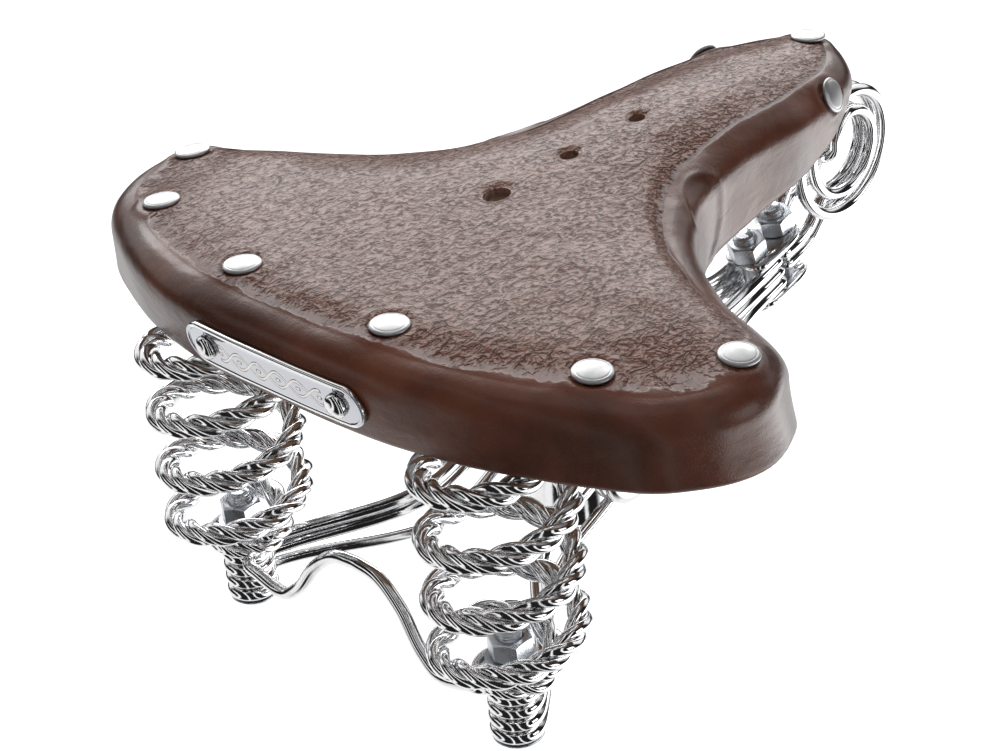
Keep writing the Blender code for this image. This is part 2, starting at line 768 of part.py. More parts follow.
def make_coils():
    """Two nested coil wires, each from the clamp round its loops, across the nose and back."""
    outer = [*loops(COIL_OUTER, 0), *OVER, (BAR_HALF, *BAR_OUTER)]
    inner = loops(COIL_INNER, 1)
    top = COIL_START + COIL_ROUND
    for k in range(1, 4):
        angle = math.radians(top + (CURL[1] - top) * k / 3)
        radius = COIL_INNER + (CURL[0] - COIL_INNER) * k / 3
        y = COIL_Y + radius * math.cos(angle)
        inner.append((COIL_SHIFT[1], y, COIL_Z + radius * math.sin(angle)))
    bar = (BAR_HALF, *BAR_INNER)
    inner += [*ease(inner[-1], bar, (-0.2, -0.5, -0.9), (-1, 0, 0), 3), bar]
    for word, route in (("outer", outer), ("inner", inner)):
        mirrored = [(-x, y, z) for x, y, z in reversed(route)]
        wire(f"front_coil_{word}", route + mirrored, WIRE, "chrome")


def make_shackle():
    """The block that hangs the cover's nose on the coils' cross bars, and its tension bolt."""
    points = []
    for x in (-SHACKLE_X, SHACKLE_X):
        for y in (SHACKLE_REAR, SHACKLE_FRONT):
            points += [(x, y, SHACKLE_FOOT), (x, y, SHACKLE_HEAD)]
    faces = [(0, 1, 3, 2), (4, 6, 7, 5), (0, 4, 5, 1), (2, 3, 7, 6), (0, 2, 6, 4), (1, 5, 7, 3)]
    block = add_mesh("nose_shackle", points, faces, "steel")
    for bar in (BAR_OUTER, BAR_INNER):
        drill(block, WIRE + GAP, -30, 30, at(0, *bar, (1, 0, 0)))
    drill(block, TENSION_R + GAP, -60, 60, at(0, COIL_Y, TENSION_Z, (0, 1, 0)))
    bolt = [
        (0, TENSION_TAIL),
        (TENSION_R - 0.6, TENSION_TAIL),
        (TENSION_R, TENSION_TAIL + 0.6),
        (TENSION_R, TENSION_HEAD),
        (3.2, TENSION_HEAD),
        (2.8, TENSION_HEAD + 1.8),
        (0, TENSION_HEAD + 2.2),
    ]
    turned("tension_bolt", bolt, "zinc", 12, at(0, 0, TENSION_Z, (0, 1, 0)))


def make_tension_nut():
    spot = at(0, SHACKLE_REAR - GAP - TENSION_NUT_TALL, TENSION_Z, (0, 1, 0))
    nut("tension_nut", TENSION_NUT, TENSION_R + GAP, TENSION_NUT_TALL, "zinc", spot)


def make_badge(leather):
    """A stadium-shaped plate bent to the rear skirt, with two small rivets."""
    across = BADGE_ACROSS
    around_half = BADGE_AROUND
    around = np.linspace(-around_half, around_half, 17)
    rows = np.linspace(-1, 1, 5)
    points = []
    for level in (-GAP, -GAP - BADGE_THICK):
        for share in around:
            end = abs(share) / around_half
            squeeze = 1.0 if end < 0.75 else math.sqrt(max(0.02, 1 - ((end - 0.75) / 0.25) ** 2))
            for row in rows:
                v = np.array([across + row * BADGE_SPAN * squeeze])
                u = np.array([share])
                points.append(tuple((cover(u, v) - level * cover_normal(u, v))[0]))
    cols = len(rows)
    count = len(around) * cols
    faces = []
    for i in range(len(around) - 1):
        for j in range(cols - 1):
            quad = (i * cols + j, (i + 1) * cols + j, (i + 1) * cols + j + 1, i * cols + j + 1)
            faces += [quad, tuple(p + count for p in reversed(quad))]
        for j in (0, cols - 1):
            a, b = i * cols + j, (i + 1) * cols + j
            faces.append((a, b, b + count, a + count))
    for i in (0, len(around) - 1):
        for j in range(cols - 1):
            a, b = i * cols + j, i * cols + j + 1
            faces.append((a, b, b + count, a + count))
    badge = add_mesh("badge_plate", points, faces, "chrome")
    for side, word in ((-1, "left"), (1, "right")):
        place = skirt_place(side * BADGE_RIVET, across)
        lift = GAP + BADGE_THICK
        profile = [
            (0, -LEATHER - RIVET_TAIL - 1.4),
            (2.6, -LEATHER - RIVET_TAIL - 1.2),
            (2.9, -LEATHER - RIVET_TAIL),
            (BADGE_SHANK, -LEATHER - RIVET_TAIL),
            (BADGE_SHANK, lift + GAP),
            (3.2, lift + GAP),
            (2.4, lift + 1.8),
            (0, lift + 2.4),
        ]
        turned(f"badge_rivet_{word}", profile, "silver", 10, place)
        drill(leather, BADGE_SHANK + GAP, -9, 3, place, 10)
        drill(badge, BADGE_SHANK + GAP, -9, 5, place, 10)


def clear():
    for obj in list(bpy.data.objects):
        bpy.data.objects.remove(obj, do_unlink=True)


def carry(made, name, place, shift):
    """Hangs pieces on a joint's empty at a place, after moving them by the shift."""
    empty = bpy.data.objects.new(name, None)
    bpy.context.scene.collection.objects.link(empty)
    empty.location = place
    for obj in made:
        obj.parent = empty
        obj.matrix_parent_inverse = Matrix.Translation(shift - place)


def new_since(known):
    return [obj for obj in bpy.data.objects if obj not in known]


def main():
    clear()
    shift = -Vector(along_rail(0, 0, CLIP_ALONG)) * MM
    make_springs()
    make_rails()
    make_cross_wire()
    make_clamp()
    make_coils()
    frame = new_since([])
    carry(frame, "rail_slide", Vector((0, 0, 0)), shift)
    known = list(bpy.data.objects)
    leather = make_leather()
    cantle, nose = make_plates()
    make_rivets(leather, cantle, nose)
    make_badge(leather)
    make_studs(cantle)
    make_shackle()
    hinge = Vector((0, COIL_Y, COIL_Z)) * MM + shift
    carry(new_since(known), "seat_suspension", hinge, shift)
    known = list(bpy.data.objects)
    make_tension_nut()
    axis = Vector((0, SHACKLE_REAR, TENSION_Z)) * MM + shift
    carry(new_since(known), "tension_nut_turn", axis, shift)
    known = list(bpy.data.objects)
    make_rear_bolts()
    carry(new_since(known), "rear_stacks", Vector((0, 0, 0)), shift)
    make_clip()


main()
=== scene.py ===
"""The looks of a sprung leather bicycle saddle: leather cover, rope springs and chromed frame.

Lengths in the shape functions are millimetres in the cover's own frame; put() carries them
to the saddle's frame, whose origin is the seat-post clip.
"""

import json
import math

import bmesh
import bpy
import numpy as np
from mathutils import Matrix, Vector

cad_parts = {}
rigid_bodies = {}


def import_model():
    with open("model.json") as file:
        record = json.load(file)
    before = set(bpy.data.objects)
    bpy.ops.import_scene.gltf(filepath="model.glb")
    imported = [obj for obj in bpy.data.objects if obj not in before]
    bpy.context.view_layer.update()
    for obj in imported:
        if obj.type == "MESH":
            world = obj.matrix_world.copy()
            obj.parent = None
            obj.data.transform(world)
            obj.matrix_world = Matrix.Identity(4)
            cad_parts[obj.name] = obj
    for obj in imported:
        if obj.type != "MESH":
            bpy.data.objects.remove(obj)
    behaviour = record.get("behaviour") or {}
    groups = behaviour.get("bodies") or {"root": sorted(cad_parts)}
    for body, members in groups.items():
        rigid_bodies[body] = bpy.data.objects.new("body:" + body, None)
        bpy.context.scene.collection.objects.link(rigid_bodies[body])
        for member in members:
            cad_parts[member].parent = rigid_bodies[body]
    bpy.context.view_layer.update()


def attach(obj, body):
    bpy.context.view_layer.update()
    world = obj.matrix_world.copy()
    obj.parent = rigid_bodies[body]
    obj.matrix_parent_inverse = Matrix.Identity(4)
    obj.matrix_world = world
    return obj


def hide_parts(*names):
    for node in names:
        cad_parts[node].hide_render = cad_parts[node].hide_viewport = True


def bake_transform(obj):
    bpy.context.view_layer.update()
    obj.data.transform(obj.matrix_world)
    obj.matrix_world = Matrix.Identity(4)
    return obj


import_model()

MM = 0.001
SHIFT = np.array([0, -7.973781, -3.221617])
TOP = "seat_top"
FRAME = "frame"
CHEEKS = "clip_cheeks"
POST = "post_clip"
SIDES = ((-1, "left"), (1, "right"))

# Cover: x and y of the rim on the right, the skirt's depth, and how far it leans out
RIM = [
    (0, -93, 27, -4),
    (40, -90, 26.5, -3),
    (79, -76, 25, -1),
    (100, -61, 24, 1),
    (106.5, -45, 24, 2),
    (99, -28.5, 24.5, 2),
    (69, -13.5, 25.5, 1),
    (41.5, 6, 28, 0.5),
    (27.5, 28, 30, 0),
    (21.5, 58, 29, 0.5),
    (20, 88, 25, -0.5),
    (16, 108, 19, -1),
    (8.5, 122, 14, -1),
    (0, 127, 13, -1),
]
ROLL_OUT = 9
ROLL_DOWN = 11
LEATHER = 4.5
CREST = 95.2
NOSE_FALL = 5.2
SPINE = (-48, 110)
SPINE_POWER = 1.8
VENTS = ((-15, 9, 7), (15, 6, 5), (44.5, 5.5, 4.5))
REAR_RIVETS = ((28, -84), (81.5, -68), (103, -38.5))
FLANK_RIVET = (0.455, 1.7)
NOSE_RIVET = (0.5, 0.97)
RIVET_R = 5.4
CANTLE = 2.5
NOSE_STEEL = 2.0
PLATE_GAP = 0.9
# The badge: half its length, half its width, its height on the skirt, and its rivets' places
BADGE_HALF = 33.0
BADGE_R = 6.4
BADGE_ACROSS = 2.3
BADGE_PIN = 0.035
BADGE_RISE = 0.3
PIN_R = 3.4
# The pressed panel on each flank: its centre and half sizes, around and across
PANEL = (0.341, 2.15, 0.0225, 0.84)

SPRING = (54, -78)
ROPE = 3.5
TURNS = 4.9
SPRING_FOOT = -5.3
SPRING_HEAD = 80.7
SPRING_START = -30
EYE_TURN = 0.62
SPRING_LOW = (
    (0, 0, 7.8),
    (0.12, 0.3, 10),
    (0.3, 4, 13.2),
    (0.45, 7.8, 15.5),
    (0.71, 8.8, 19.2),
    (1.46, 20.9, 19.2),
)
SPRING_HIGH = (
    (0, 0, 7.8),
    (0.2, 3.8, 8.5),
    (0.55, 10.5, 12.5),
    (0.95, 18, 19.2),
    (1.19, 22.4, 19.2),
)
STRANDS = 3
STRAND = 1.66
LAY = 24.5
WIRE = 2
GAP = 0.3
RING_R = 5.9
RING_TOP = -11.1
RING_STEP = 2 * WIRE + GAP
BOLT_R = 3.5
NUT_AF = 11
NUT_TALL = 6
WASHER = 1.5
WASHER_R = 7.2
THREAD_SLACK = 0.05
CROSS_HUMP = ((46, -0.5), (30, -2.5), (25, 1.5), (17, 12), (8, 18.5), (0, 19.5))

RAIL_TILT = math.radians(22)
RAIL_X = 21
RAIL_OFFSETS = (10.7, 6.1, -6.1)
RAIL_HALF = 28
CLIP_ALONG = 8.6
CLAMP_X = 6.4
CLAMP_MIDDLE = 103
CLAMP_Z = 21
CLAMP_TILT = math.radians(14)
CLAMP_HALF = 12.5
BOLT_STEP = 14.5
PLATE = 2
COIL_Y = 127.3
COIL_Z = 53.7
COIL_RADII = (20.4, 14)
COIL_TURN = 540
COIL_SHIFT = (7.2, 14.2)
OVER = (
    (14.2, 122, 73.8),
    (13.7, 118.5, 74.6),
    (11, 116.6, 75.6),
    (8, 116.5, 75.2),
    (5.2, 116.5, 73),
)
CURL = (8, 510)
BARS = ((116.5, 71.5), (118.6, 54))
TENSION_Z = 76.6
TENSION_R = 2
TENSION_TAIL = 98
TENSION_THREAD_END = 120

FLOOR_Z = -0.2
FLOOR_SIZE = 14
CAMERA_AT = (0.42103, -0.43549, 0.38178)
CAMERA_TURN = (-45.951, 30.576, -5.370)
LENS = 85.73
FILM = 36


# ---------------------------------------------------------------- shader maths


class Value:
    """A shader socket that takes arithmetic, one Math node for each operation."""

    def __init__(self, looks, socket):
        self.looks = looks
        self.socket = socket

    def math(self, operation, *others):
        inputs = dict(enumerate((self, *others)))
        return self.looks.node("ShaderNodeMath", {"operation": operation}, inputs)

    def __add__(self, other):
        return self.math("ADD", other)

    __radd__ = __add__

    def __mul__(self, other):
        return self.math("MULTIPLY", other)

    __rmul__ = __mul__

    def __sub__(self, other):
        return self.math("SUBTRACT", other)

    def __rsub__(self, other):
        return self * -1.0 + other

    def __abs__(self):
        return self.math("ABSOLUTE")

    def ramp(self, low, high):
        """0 below low, 1 above high, smooth between."""
        ends = {"Value": self, "From Min": low, "From Max": high}
        return self.looks.node("ShaderNodeMapRange", {"interpolation_type": "SMOOTHSTEP"}, ends)


class Looks:
    """A node tree's main shader and the nodes that feed it: a material's, or the world's."""

    def __init__(self, name, kind="materials", shader="Principled BSDF", **constants):
        self.material = getattr(bpy.data, kind).new(name)
        self.material.use_nodes = True
        self.tree = self.material.node_tree
        self.shader = self.tree.nodes[shader]
        self.set(**constants)

    def feed(self, socket, value):
        if isinstance(value, Value):
            self.tree.links.new(value.socket, socket)
        else:
            socket.default_value = value

    def set(self, **inputs):
        for word, value in inputs.items():
            self.feed(self.shader.inputs[word.replace("_", " ")], value)

    def node(self, kind, settings, values, output=0):
        made = self.tree.nodes.new(kind)
        for word, value in settings.items():
            setattr(made, word, value)
        for word, value in values.items():
            self.feed(made.inputs[word], value)
        return Value(self, made.outputs[output])

    def place(self, *stretch):
        """Object coordinates, stretched by three factors."""
        at = self.node("ShaderNodeTexCoord", {}, {}, "Object")
        return self.node("ShaderNodeVectorMath", {"operation": "MULTIPLY"}, {0: at, 1: stretch})

    def attribute(self, name):
        return self.node("ShaderNodeAttribute", {"attribute_name": name}, {}, "Fac")

    def noise(self, at, scale, detail=3.0, rough=0.5, warp=0.0):
        values = {"Vector": at, "Scale": scale, "Detail": detail, "Roughness": rough}
        values["Distortion"] = warp
        return self.node("ShaderNodeTexNoise", {}, values)

    def mix(self, share, one, two):
        return self.node("ShaderNodeMix", {"data_type": "RGBA"}, {0: share, 6: one, 7: two}, 2)

    def bump(self, height, distance, strength=1.0):
        values = {"Height": height, "Distance": distance, "Strength": strength}
        return self.node("ShaderNodeBump", {}, values)


def leather_look():
    """Embossed, waxed leather: wrinkle grain on top, burnished skirts and a raw cut edge. Painted
    shade: the skirts are painted darker than the top, partly their own burnished tone; the rim is
    painted darker still; and the grain's grooves are painted darker than its ridges.
    """
    looks = Looks("leather_waxed", Specular_IOR_Level=0.28, Coat_Roughness=0.2, Coat_IOR=1.45)
    cloud = looks.noise(looks.place(1, 1, 1), 24, 4.0, 0.6)
    patch = looks.noise(looks.place(1, 1, 1), 85, 3.0, 0.6)
    grain = (looks.attribute("grain") + (patch - 0.5) * 0.9).ramp(0.2, 0.8)
    raw = looks.attribute("raw")
    rim = looks.attribute("rim")
    vent = looks.attribute("vent")
    at = looks.place(1, 1, 1)
    pore = looks.noise(at, 1900, 2.0, 0.6)
    long = looks.noise(looks.place(1.0, 0.6, 1.0), 300, 1.5, 0.45, 0.8)
    short = looks.noise(looks.place(1.0, 0.6, 1.0), 520, 1.5, 0.45, 0.6)
    gap = looks.noise(at, 640, 1.0, 0.4).ramp(0.36, 0.58)
    valley = 1.0 - (1.0 - abs(long - 0.5).ramp(0.0, 0.11)) * gap
    crackle = 1.0 - (1.0 - abs(short - 0.5).ramp(0.0, 0.12)) * gap
    relief = valley * 0.62 + crackle * 0.38
    swell = looks.noise(looks.place(1, 0.7, 1), 95, 2.0, 0.5)
    flank = looks.noise(looks.place(1, 1, 2), 70, 3.0, 0.5, 0.3)
    height = (relief * 0.55 + long * 1.2 + short * 0.6 + swell * 0.8) * grain
    height = height + pore * 0.03 + flank * 0.22 * (1.0 - grain)
    looks.set(Normal=looks.bump(height, 0.0027, 1.0))
    # The grain's grooves take the darker colour and its ridges the tan: painted shade in the
    # grooves.
    groove_shade = (0.068, 0.023, 0.0145, 1)
    tan = (0.106, 0.0375, 0.021, 1)
    worn = (0.15, 0.068, 0.046, 1)
    # The skirt colour is painted much darker than the top's: partly the smooth skirt's own tone,
    # partly painted shade on the skirts that face away from the light.
    skirt = looks.mix(cloud.ramp(0.35, 0.68), (0.03, 0.0078, 0.0034, 1), (0.066, 0.018, 0.0072, 1))
    top = looks.mix(relief * 0.75 + 0.25, groove_shade, tan)
    top = looks.mix(relief * cloud.ramp(0.42, 0.7) * 0.5, top, worn)
    colour = looks.mix(grain, skirt, top)
    scuff = looks.noise(looks.place(0.3, 2.4, 1.0), 300, 4.0, 0.65)
    scuffed = scuff.ramp(0.6, 0.7) * rim * 0.55
    colour = looks.mix(scuffed, colour, (0.19, 0.09, 0.058, 1))
    colour = looks.mix(vent * 0.35, colour, (0.15, 0.08, 0.052, 1))
    # The rim band is painted a darker red-brown: painted shade where the top rolls away from the
    # light. The same mask thins the coat, and its scuffs are real wear.
    dull = rim * (1.0 - scuffed)
    colour = looks.mix(dull * 0.6, colour, (0.07, 0.0195, 0.0092, 1))
    fibre = looks.mix(pore, (0.07, 0.036, 0.02, 1), (0.17, 0.10, 0.062, 1))
    colour = looks.mix(raw, colour, fibre)
    wax = grain * (0.36 - relief * 0.22) + cloud * 0.16 + 0.24 + raw * 0.5 + scuffed * 0.3
    looks.set(Base_Color=colour, Roughness=wax)
    glaze = 0.28 - grain * (0.18 - relief * 0.25)
    looks.set(Coat_Weight=(1.0 - raw) * glaze * (1.0 - dull * 0.7))
    return looks.material


def chrome_look(name, tint, rough, haze):
    """Plated wire: near-mirror with faint smears, fine polishing lines and dull patches."""
    looks = Looks(name, Metallic=1.0)
    at = looks.place(1, 1, 1)
    smear = looks.noise(at, 90, 4.0, 0.6, 0.4)
    line = looks.noise(looks.place(1, 1, 9), 700, 2.0, 0.5)
    dull = smear.ramp(0.45, 0.75)
    dark = tuple(c * 0.72 for c in tint) + (1,)
    looks.set(Base_Color=looks.mix(dull * 0.5, tint + (1,), dark))
    looks.set(Roughness=dull * haze + line * 0.05 + rough)
    looks.set(Normal=looks.bump(line + smear * 2.0, 0.00002, 0.5))
    return looks.material


def badge_look():
    """A polished plate with two crossing engraved waves between its rivets."""
    looks = Looks("badge_polished", Metallic=1.0)
    s = looks.attribute("s")
    t = looks.attribute("t")
    inner = 1.0 - abs(s).ramp(19.0, 20.0)
    wave = (s * 0.42).math("SINE") * 2.4
    one = 1.0 - abs(t - wave).ramp(0.25, 0.6)
    two = 1.0 - abs(t + wave).ramp(0.25, 0.6)
    dot = 1.0 - (s * 0.84).math("COSINE").ramp(-0.95, -0.7)
    core = 1.0 - abs(t).ramp(0.3, 0.6)
    cut = one.math("MAXIMUM", two).math("MAXIMUM", dot * core) * inner
    fine = looks.noise(looks.place(9, 1, 1), 500, 3.0, 0.6)
    field = 1.0 - abs(t).ramp(4.7, 5.0)
    looks.set(Normal=looks.bump(cut * -1.0 + fine * 0.03, 0.00025, 0.8))
    plain = looks.mix(field, (0.84, 0.84, 0.85, 1), (0.56, 0.565, 0.6, 1))
    looks.set(Base_Color=looks.mix(cut, plain, (0.78, 0.76, 0.72, 1)))
    looks.set(Roughness=fine * 0.08 + 0.06 + cut * 0.2)
    return looks.material


def plate_look():
    """Dull pressed steel with mill streaks and a few brown spots."""
    looks = Looks("pressed_steel", Metallic=0.9)
    streak = looks.noise(looks.place(1, 8, 1), 120, 4.0, 0.6)
    spot = looks.noise(looks.place(1, 1, 1), 160, 3.0, 0.6).ramp(0.62, 0.72)
    bare = looks.mix(streak, (0.2, 0.2, 0.205, 1), (0.36, 0.36, 0.36, 1))
    looks.set(Base_Color=looks.mix(spot, bare, (0.13, 0.06, 0.03, 1)))
    looks.set(Roughness=streak * 0.25 + 0.32 + spot * 0.25)
    looks.set(Normal=looks.bump(streak + spot, 0.0001, 0.6))
    return looks.material


LOOKS = {
    "leather": leather_look(),
    "chrome": chrome_look("chrome_plate", (0.82, 0.82, 0.83), 0.03, 0.1),
    "zinc": chrome_look("zinc_plate", (0.66, 0.69, 0.73), 0.24, 0.2),
    "silver": chrome_look("rivet_silver", (0.45, 0.45, 0.455), 0.34, 0.2),
    "steel": plate_look(),
    "badge": badge_look(),
    "pin": chrome_look("pin_polished", (0.8, 0.8, 0.8), 0.06, 0.08),
}


# ---------------------------------------------------------------- making pieces


def put(name, points, faces, look, body, nodes, attributes=None, weld=False, smooth=45):
    """A finished piece from points in millimetres, riding on a body and standing for nodes."""
    mesh = bpy.data.meshes.new(name)
    mesh.from_pydata(((points + SHIFT) * MM).tolist(), [], faces.tolist())
    for word, values in (attributes or {}).items():
        mesh.attributes.new(word, "FLOAT", "POINT").data.foreach_set("value", values)
    if weld:
        form = bmesh.new()
        form.from_mesh(mesh)
        bmesh.ops.remove_doubles(form, verts=form.verts, dist=0.002 * MM)
        form.to_mesh(mesh)
        form.free()
    mesh.shade_smooth()
    mesh.set_sharp_from_angle(angle=math.radians(smooth))
    obj = bpy.data.objects.new(name, mesh)
    bpy.context.scene.collection.objects.link(obj)
    mesh.materials.append(LOOKS[look])
    if body:
        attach(obj, body)
    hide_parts(*nodes)
    return obj


def quads(rows, cols, round_rows=False, round_cols=False):
    """Faces of a grid of points, rows by cols, each way open or closed."""
    i = np.arange(rows if round_rows else rows - 1)
    j = np.arange(cols if round_cols else cols - 1)
    i, j = np.meshgrid(i, j, indexing="ij")
    k, m = (i + 1) % rows, (j + 1) % cols
    return np.stack([i * cols + j, i * cols + m, k * cols + m, k * cols + j], -1).reshape(-1, 4)


def joined(parts):
    """Several (points, faces) pairs as one."""
    starts = np.cumsum([0] + [len(points) for points, _ in parts])
    points = np.concatenate([points for points, _ in parts])
    return points, np.concatenate([faces + n for (_, faces), n in zip(parts, starts)])


def smoothstep(low, high, value):
    share = np.clip((value - low) / (high - low), 0, 1)
    return share * share * (3 - 2 * share)


def curve_through(knots, count, first=None, last=None):
    """Points at equal arc lengths on a smooth cubic through the knots (rows of numbers)."""
    knots = np.asarray(knots, float)
    chord = np.linalg.norm(np.diff(knots[:, :3], axis=0), axis=1)
    at = np.concatenate([[0], np.cumsum(chord)])
    slope = np.gradient(knots, at, axis=0)
    if first is not None:
        slope[0, : len(first)] = first
    if last is not None:
        slope[-1, : len(last)] = last
    fine = np.linspace(0, at[-1], 40 * len(knots))
    span = np.clip(np.searchsorted(at, fine, side="right") - 1, 0, len(at) - 2)
    width = (at[span + 1] - at[span])[:, None]
    u = (fine[:, None] - at[span][:, None]) / width
    points = (
        (1 + 2 * u) * (1 - u) ** 2 * knots[span]
        + u * (1 - u) ** 2 * width * slope[span]
        + u * u * (3 - 2 * u) * knots[span + 1]
        + u * u * (u - 1) * width * slope[span + 1]
    )
    steps = np.linalg.norm(np.diff(points[:, :3], axis=0), axis=1)
    length = np.concatenate([[0], np.cumsum(steps)])
    even = np.linspace(0, length[-1], count)
    return np.stack([np.interp(even, length, points[:, k]) for k in range(points.shape[1])], 1)


def unit(vectors):
    return vectors / np.maximum(np.linalg.norm(vectors, axis=-1, keepdims=True), 1e-12)


def frames_along(path):
    """Two unit normals at each point, carried along the path by double reflection."""
    tangent = unit(np.gradient(path, axis=0))
    start = np.cross(tangent[0], [0.3, 0.2, 1.0])
    normal = [unit(start)]
    for k in range(len(path) - 1):
        step = path[k + 1] - path[k]
        size = max(step @ step, 1e-12)
        n = normal[-1] - 2 * (step @ normal[-1]) / size * step
        t = tangent[k] - 2 * (step @ tangent[k]) / size * step
        turn = tangent[k + 1] - t
        size = max(turn @ turn, 1e-12)
        normal.append(n - 2 * (turn @ n) / size * turn)
    normal = unit(np.array(normal))
    return normal, np.cross(tangent, normal)


def tube(path, radius, sides=16):
    """A round bar along a path: circles of the radius carried along it, rounded ends."""
    normal, side = frames_along(path)
    size = np.full(len(path), float(radius))
    size[[0, -1]] *= 0.55
    size[[1, -2]] *= 0.9
    angle = np.linspace(0, 2 * math.pi, sides, endpoint=False)
    ring = normal[:, None] * np.cos(angle)[None, :, None]
    ring = ring + side[:, None] * np.sin(angle)[None, :, None]
    points = (path[:, None] + size[:, None, None] * ring).reshape(-1, 3)
    faces = quads(len(path), sides, round_cols=True)
    last = len(points) - sides
    k = np.arange(0, sides, 2)
    fan = np.stack([(k + 2) % sides, k + 1, k], 1)
    middle = np.full((len(k), 1), len(points))
    low = np.concatenate([middle, fan], 1)
    high = np.concatenate([middle + 1, fan[:, ::-1] + last], 1)
    points = np.concatenate([points, path[[0]], path[[-1]]])
    return points, np.concatenate([faces, low, high])


def at(x, y, z, axis=(0, 0, 1)):
    """A placing matrix: Z turned to the axis, then moved."""
    turn = Vector((0, 0, 1)).rotation_difference(Vector(axis)).to_matrix().to_4x4()
    return np.array(Matrix.Translation(Vector((x, y, z))) @ turn)


def placed(points, place):
    return points @ place[:3, :3].T + place[:3, 3]


def lathe(profile, sides=48, place=None, ring=False):
    """Revolves (radius, height) rows about Z: x = r cos a, y = r sin a, z = height."""
    rows = np.array(profile, float)
    angle = np.linspace(0, 2 * math.pi, sides, endpoint=False)
    radius = np.maximum(rows[:, :1], 0)
    points = np.stack([radius * np.cos(angle), radius * np.sin(angle), rows[:, 1:] + 0 * angle], -1)
    points = points.reshape(-1, 3)
    faces = quads(len(rows), sides, ring, True)
    return (placed(points, place) if place is not None else points), faces


def rounded(corners, radius, steps=5):
    """A profile with each inner corner replaced by an arc of about the radius."""
    corners = np.array(corners, float)
    out = [corners[0]]
    for a, b, c in zip(corners, corners[1:], corners[2:]):
        reach = min(radius, 0.45 * np.linalg.norm(a - b), 0.45 * np.linalg.norm(c - b))
        one = b + unit(a - b) * reach
        two = b + unit(c - b) * reach
        for u in np.linspace(0, 1, steps):
            out.append((1 - u) ** 2 * one + 2 * u * (1 - u) * b + u * u * two)
    out.append(corners[-1])
    return out


def hex_nut(across, bore, tall, place):
    """A nut: the smaller of a hexagon's radius and a chamfer cone at each height."""
    sides = 96
    angle = np.linspace(0, 2 * math.pi, sides, endpoint=False)
    flat = across / 2 / np.cos((angle + math.pi / 6) % (math.pi / 3) - math.pi / 6)
    near = np.concatenate([np.linspace(0, 1.0, 9), [tall / 2], tall - np.linspace(1.0, 0, 9)])
    rows = [(np.full(sides, bore + 0.5), 0.0), (np.full(sides, across * 0.36), 0.0)]
    for z in near:
        cone = across * 0.475 + 1.7 * min(z, tall - z)
        rows.append((np.minimum(flat, cone), z))
    rows += [(np.full(sides, across * 0.36), tall), (np.full(sides, bore + 0.5), tall)]
    rows += [(np.full(sides, bore), tall - 0.5), (np.full(sides, bore), 0.5)]
    points = [np.stack([r * np.cos(angle), r * np.sin(angle), z + 0 * angle], -1) for r, z in rows]
    points = placed(np.concatenate(points), place)
    return points, quads(len(rows), sides, True, True)


def screw(radius, low, high, place, pitch=1.0, depth=0.45):
    """A threaded end: the radius falls by a ramp of z / pitch less the angle's turn."""
    sides = 32
    angle = np.linspace(0, 2 * math.pi, sides, endpoint=False)
    z = np.linspace(low, high, int((high - low) / pitch * 8) + 2)[:, None]
    wave = np.abs(((z / pitch - angle / (2 * math.pi)) % 1.0) - 0.5) * 2
    taper = np.clip((high - z) / 0.8, 0, 1)
    r = radius - depth * (1 - wave) - 0.8 * (1 - taper)
    r = np.concatenate([r[:1] * 0, r, r[-1:] * 0])
    z = np.concatenate([z[:1], z, z[-1:]])
    points = np.stack([r * np.cos(angle), r * np.sin(angle), z + 0 * angle], -1).reshape(-1, 3)
    return placed(points, place), quads(len(z), sides, False, True)


# ---------------------------------------------------------------- leather


def top_height(x, y):
    """The cover's top: level at the rear, falling and more crowned at the nose."""
    crown = 0.0005 + 0.0045 * smoothstep(-35, 40, y)
    return CREST - NOSE_FALL * smoothstep(50, 150, y) - crown * x * x


def rim_at(share):
    rows = curve_through([(x, y, 0, d, lean) for x, y, d, lean in RIM], 400, (1, 0), (-1, 0))
    along = np.linspace(0, 1, len(rows))
    return np.stack([np.interp(share, along, rows[:, k]) for k in (0, 1, 3, 4)], -1)


def cover(around, across):
    """Points of the cover: around 0 to 1 from the rear, across 0 spine, 1 rim, 2 roll, 3 edge."""
    around, across = np.broadcast_arrays(np.mod(around, 1), across)
    left = around > 0.5
    share = np.where(left, 2 - 2 * around, 2 * around)
    side = np.where(left, -1.0, 1.0)
    rim = rim_at(share)
    step = rim_at(np.clip(share + 0.004, 0, 1)) - rim_at(np.clip(share - 0.004, 0, 1))
    size = np.hypot(step[..., 0], step[..., 1])
    out = np.stack([step[..., 1] / size, -step[..., 0] / size], -1)
    spine = SPINE[0] + (SPINE[1] - SPINE[0]) * share**SPINE_POWER
    inward = np.clip(across, 0, 1)
    x = rim[..., 0] * inward
    y = spine + (rim[..., 1] - spine) * inward
    turn = np.clip(across - 1, 0, 1) * math.pi / 2
    fall = np.clip(across - 2, 0, 1)
    offset = ROLL_OUT * np.sin(turn) + rim[..., 3] * fall**1.5
    x = x + out[..., 0] * offset
    y = y + out[..., 1] * offset
    z = top_height(rim[..., 0] * inward, np.minimum(y, rim[..., 1].max()))
    z = z - ROLL_DOWN * (1 - np.cos(turn)) - (rim[..., 2] - ROLL_DOWN) * fall
    return np.stack([x * side, y, z], -1)


def cover_normal(around, across):
    d = 0.003
    a = cover(np.asarray(around) + d, across) - cover(np.asarray(around) - d, across)
    b = cover(around, np.asarray(across) + 0.02) - cover(around, np.asarray(across) - 0.02)
    n = unit(np.cross(b, a))
    return np.where((np.asarray(across) < 0.02)[..., None], [0.0, 0.0, 1.0], n)


def skirt_place(around, across):
    point = cover(np.array([around]), np.array([across]))[0]
    normal = cover_normal(np.array([around]), np.array([across]))[0]
    return at(*point, axis=normal)


def surface_place(x, y):
    step = 0.5
    dx = (top_height(x + step, y) - top_height(x - step, y)) / (2 * step)
    dy = (top_height(x, y + step) - top_height(x, y - step)) / (2 * step)
    return at(x, y, float(top_height(x, y)), (-dx, -dy, 1))


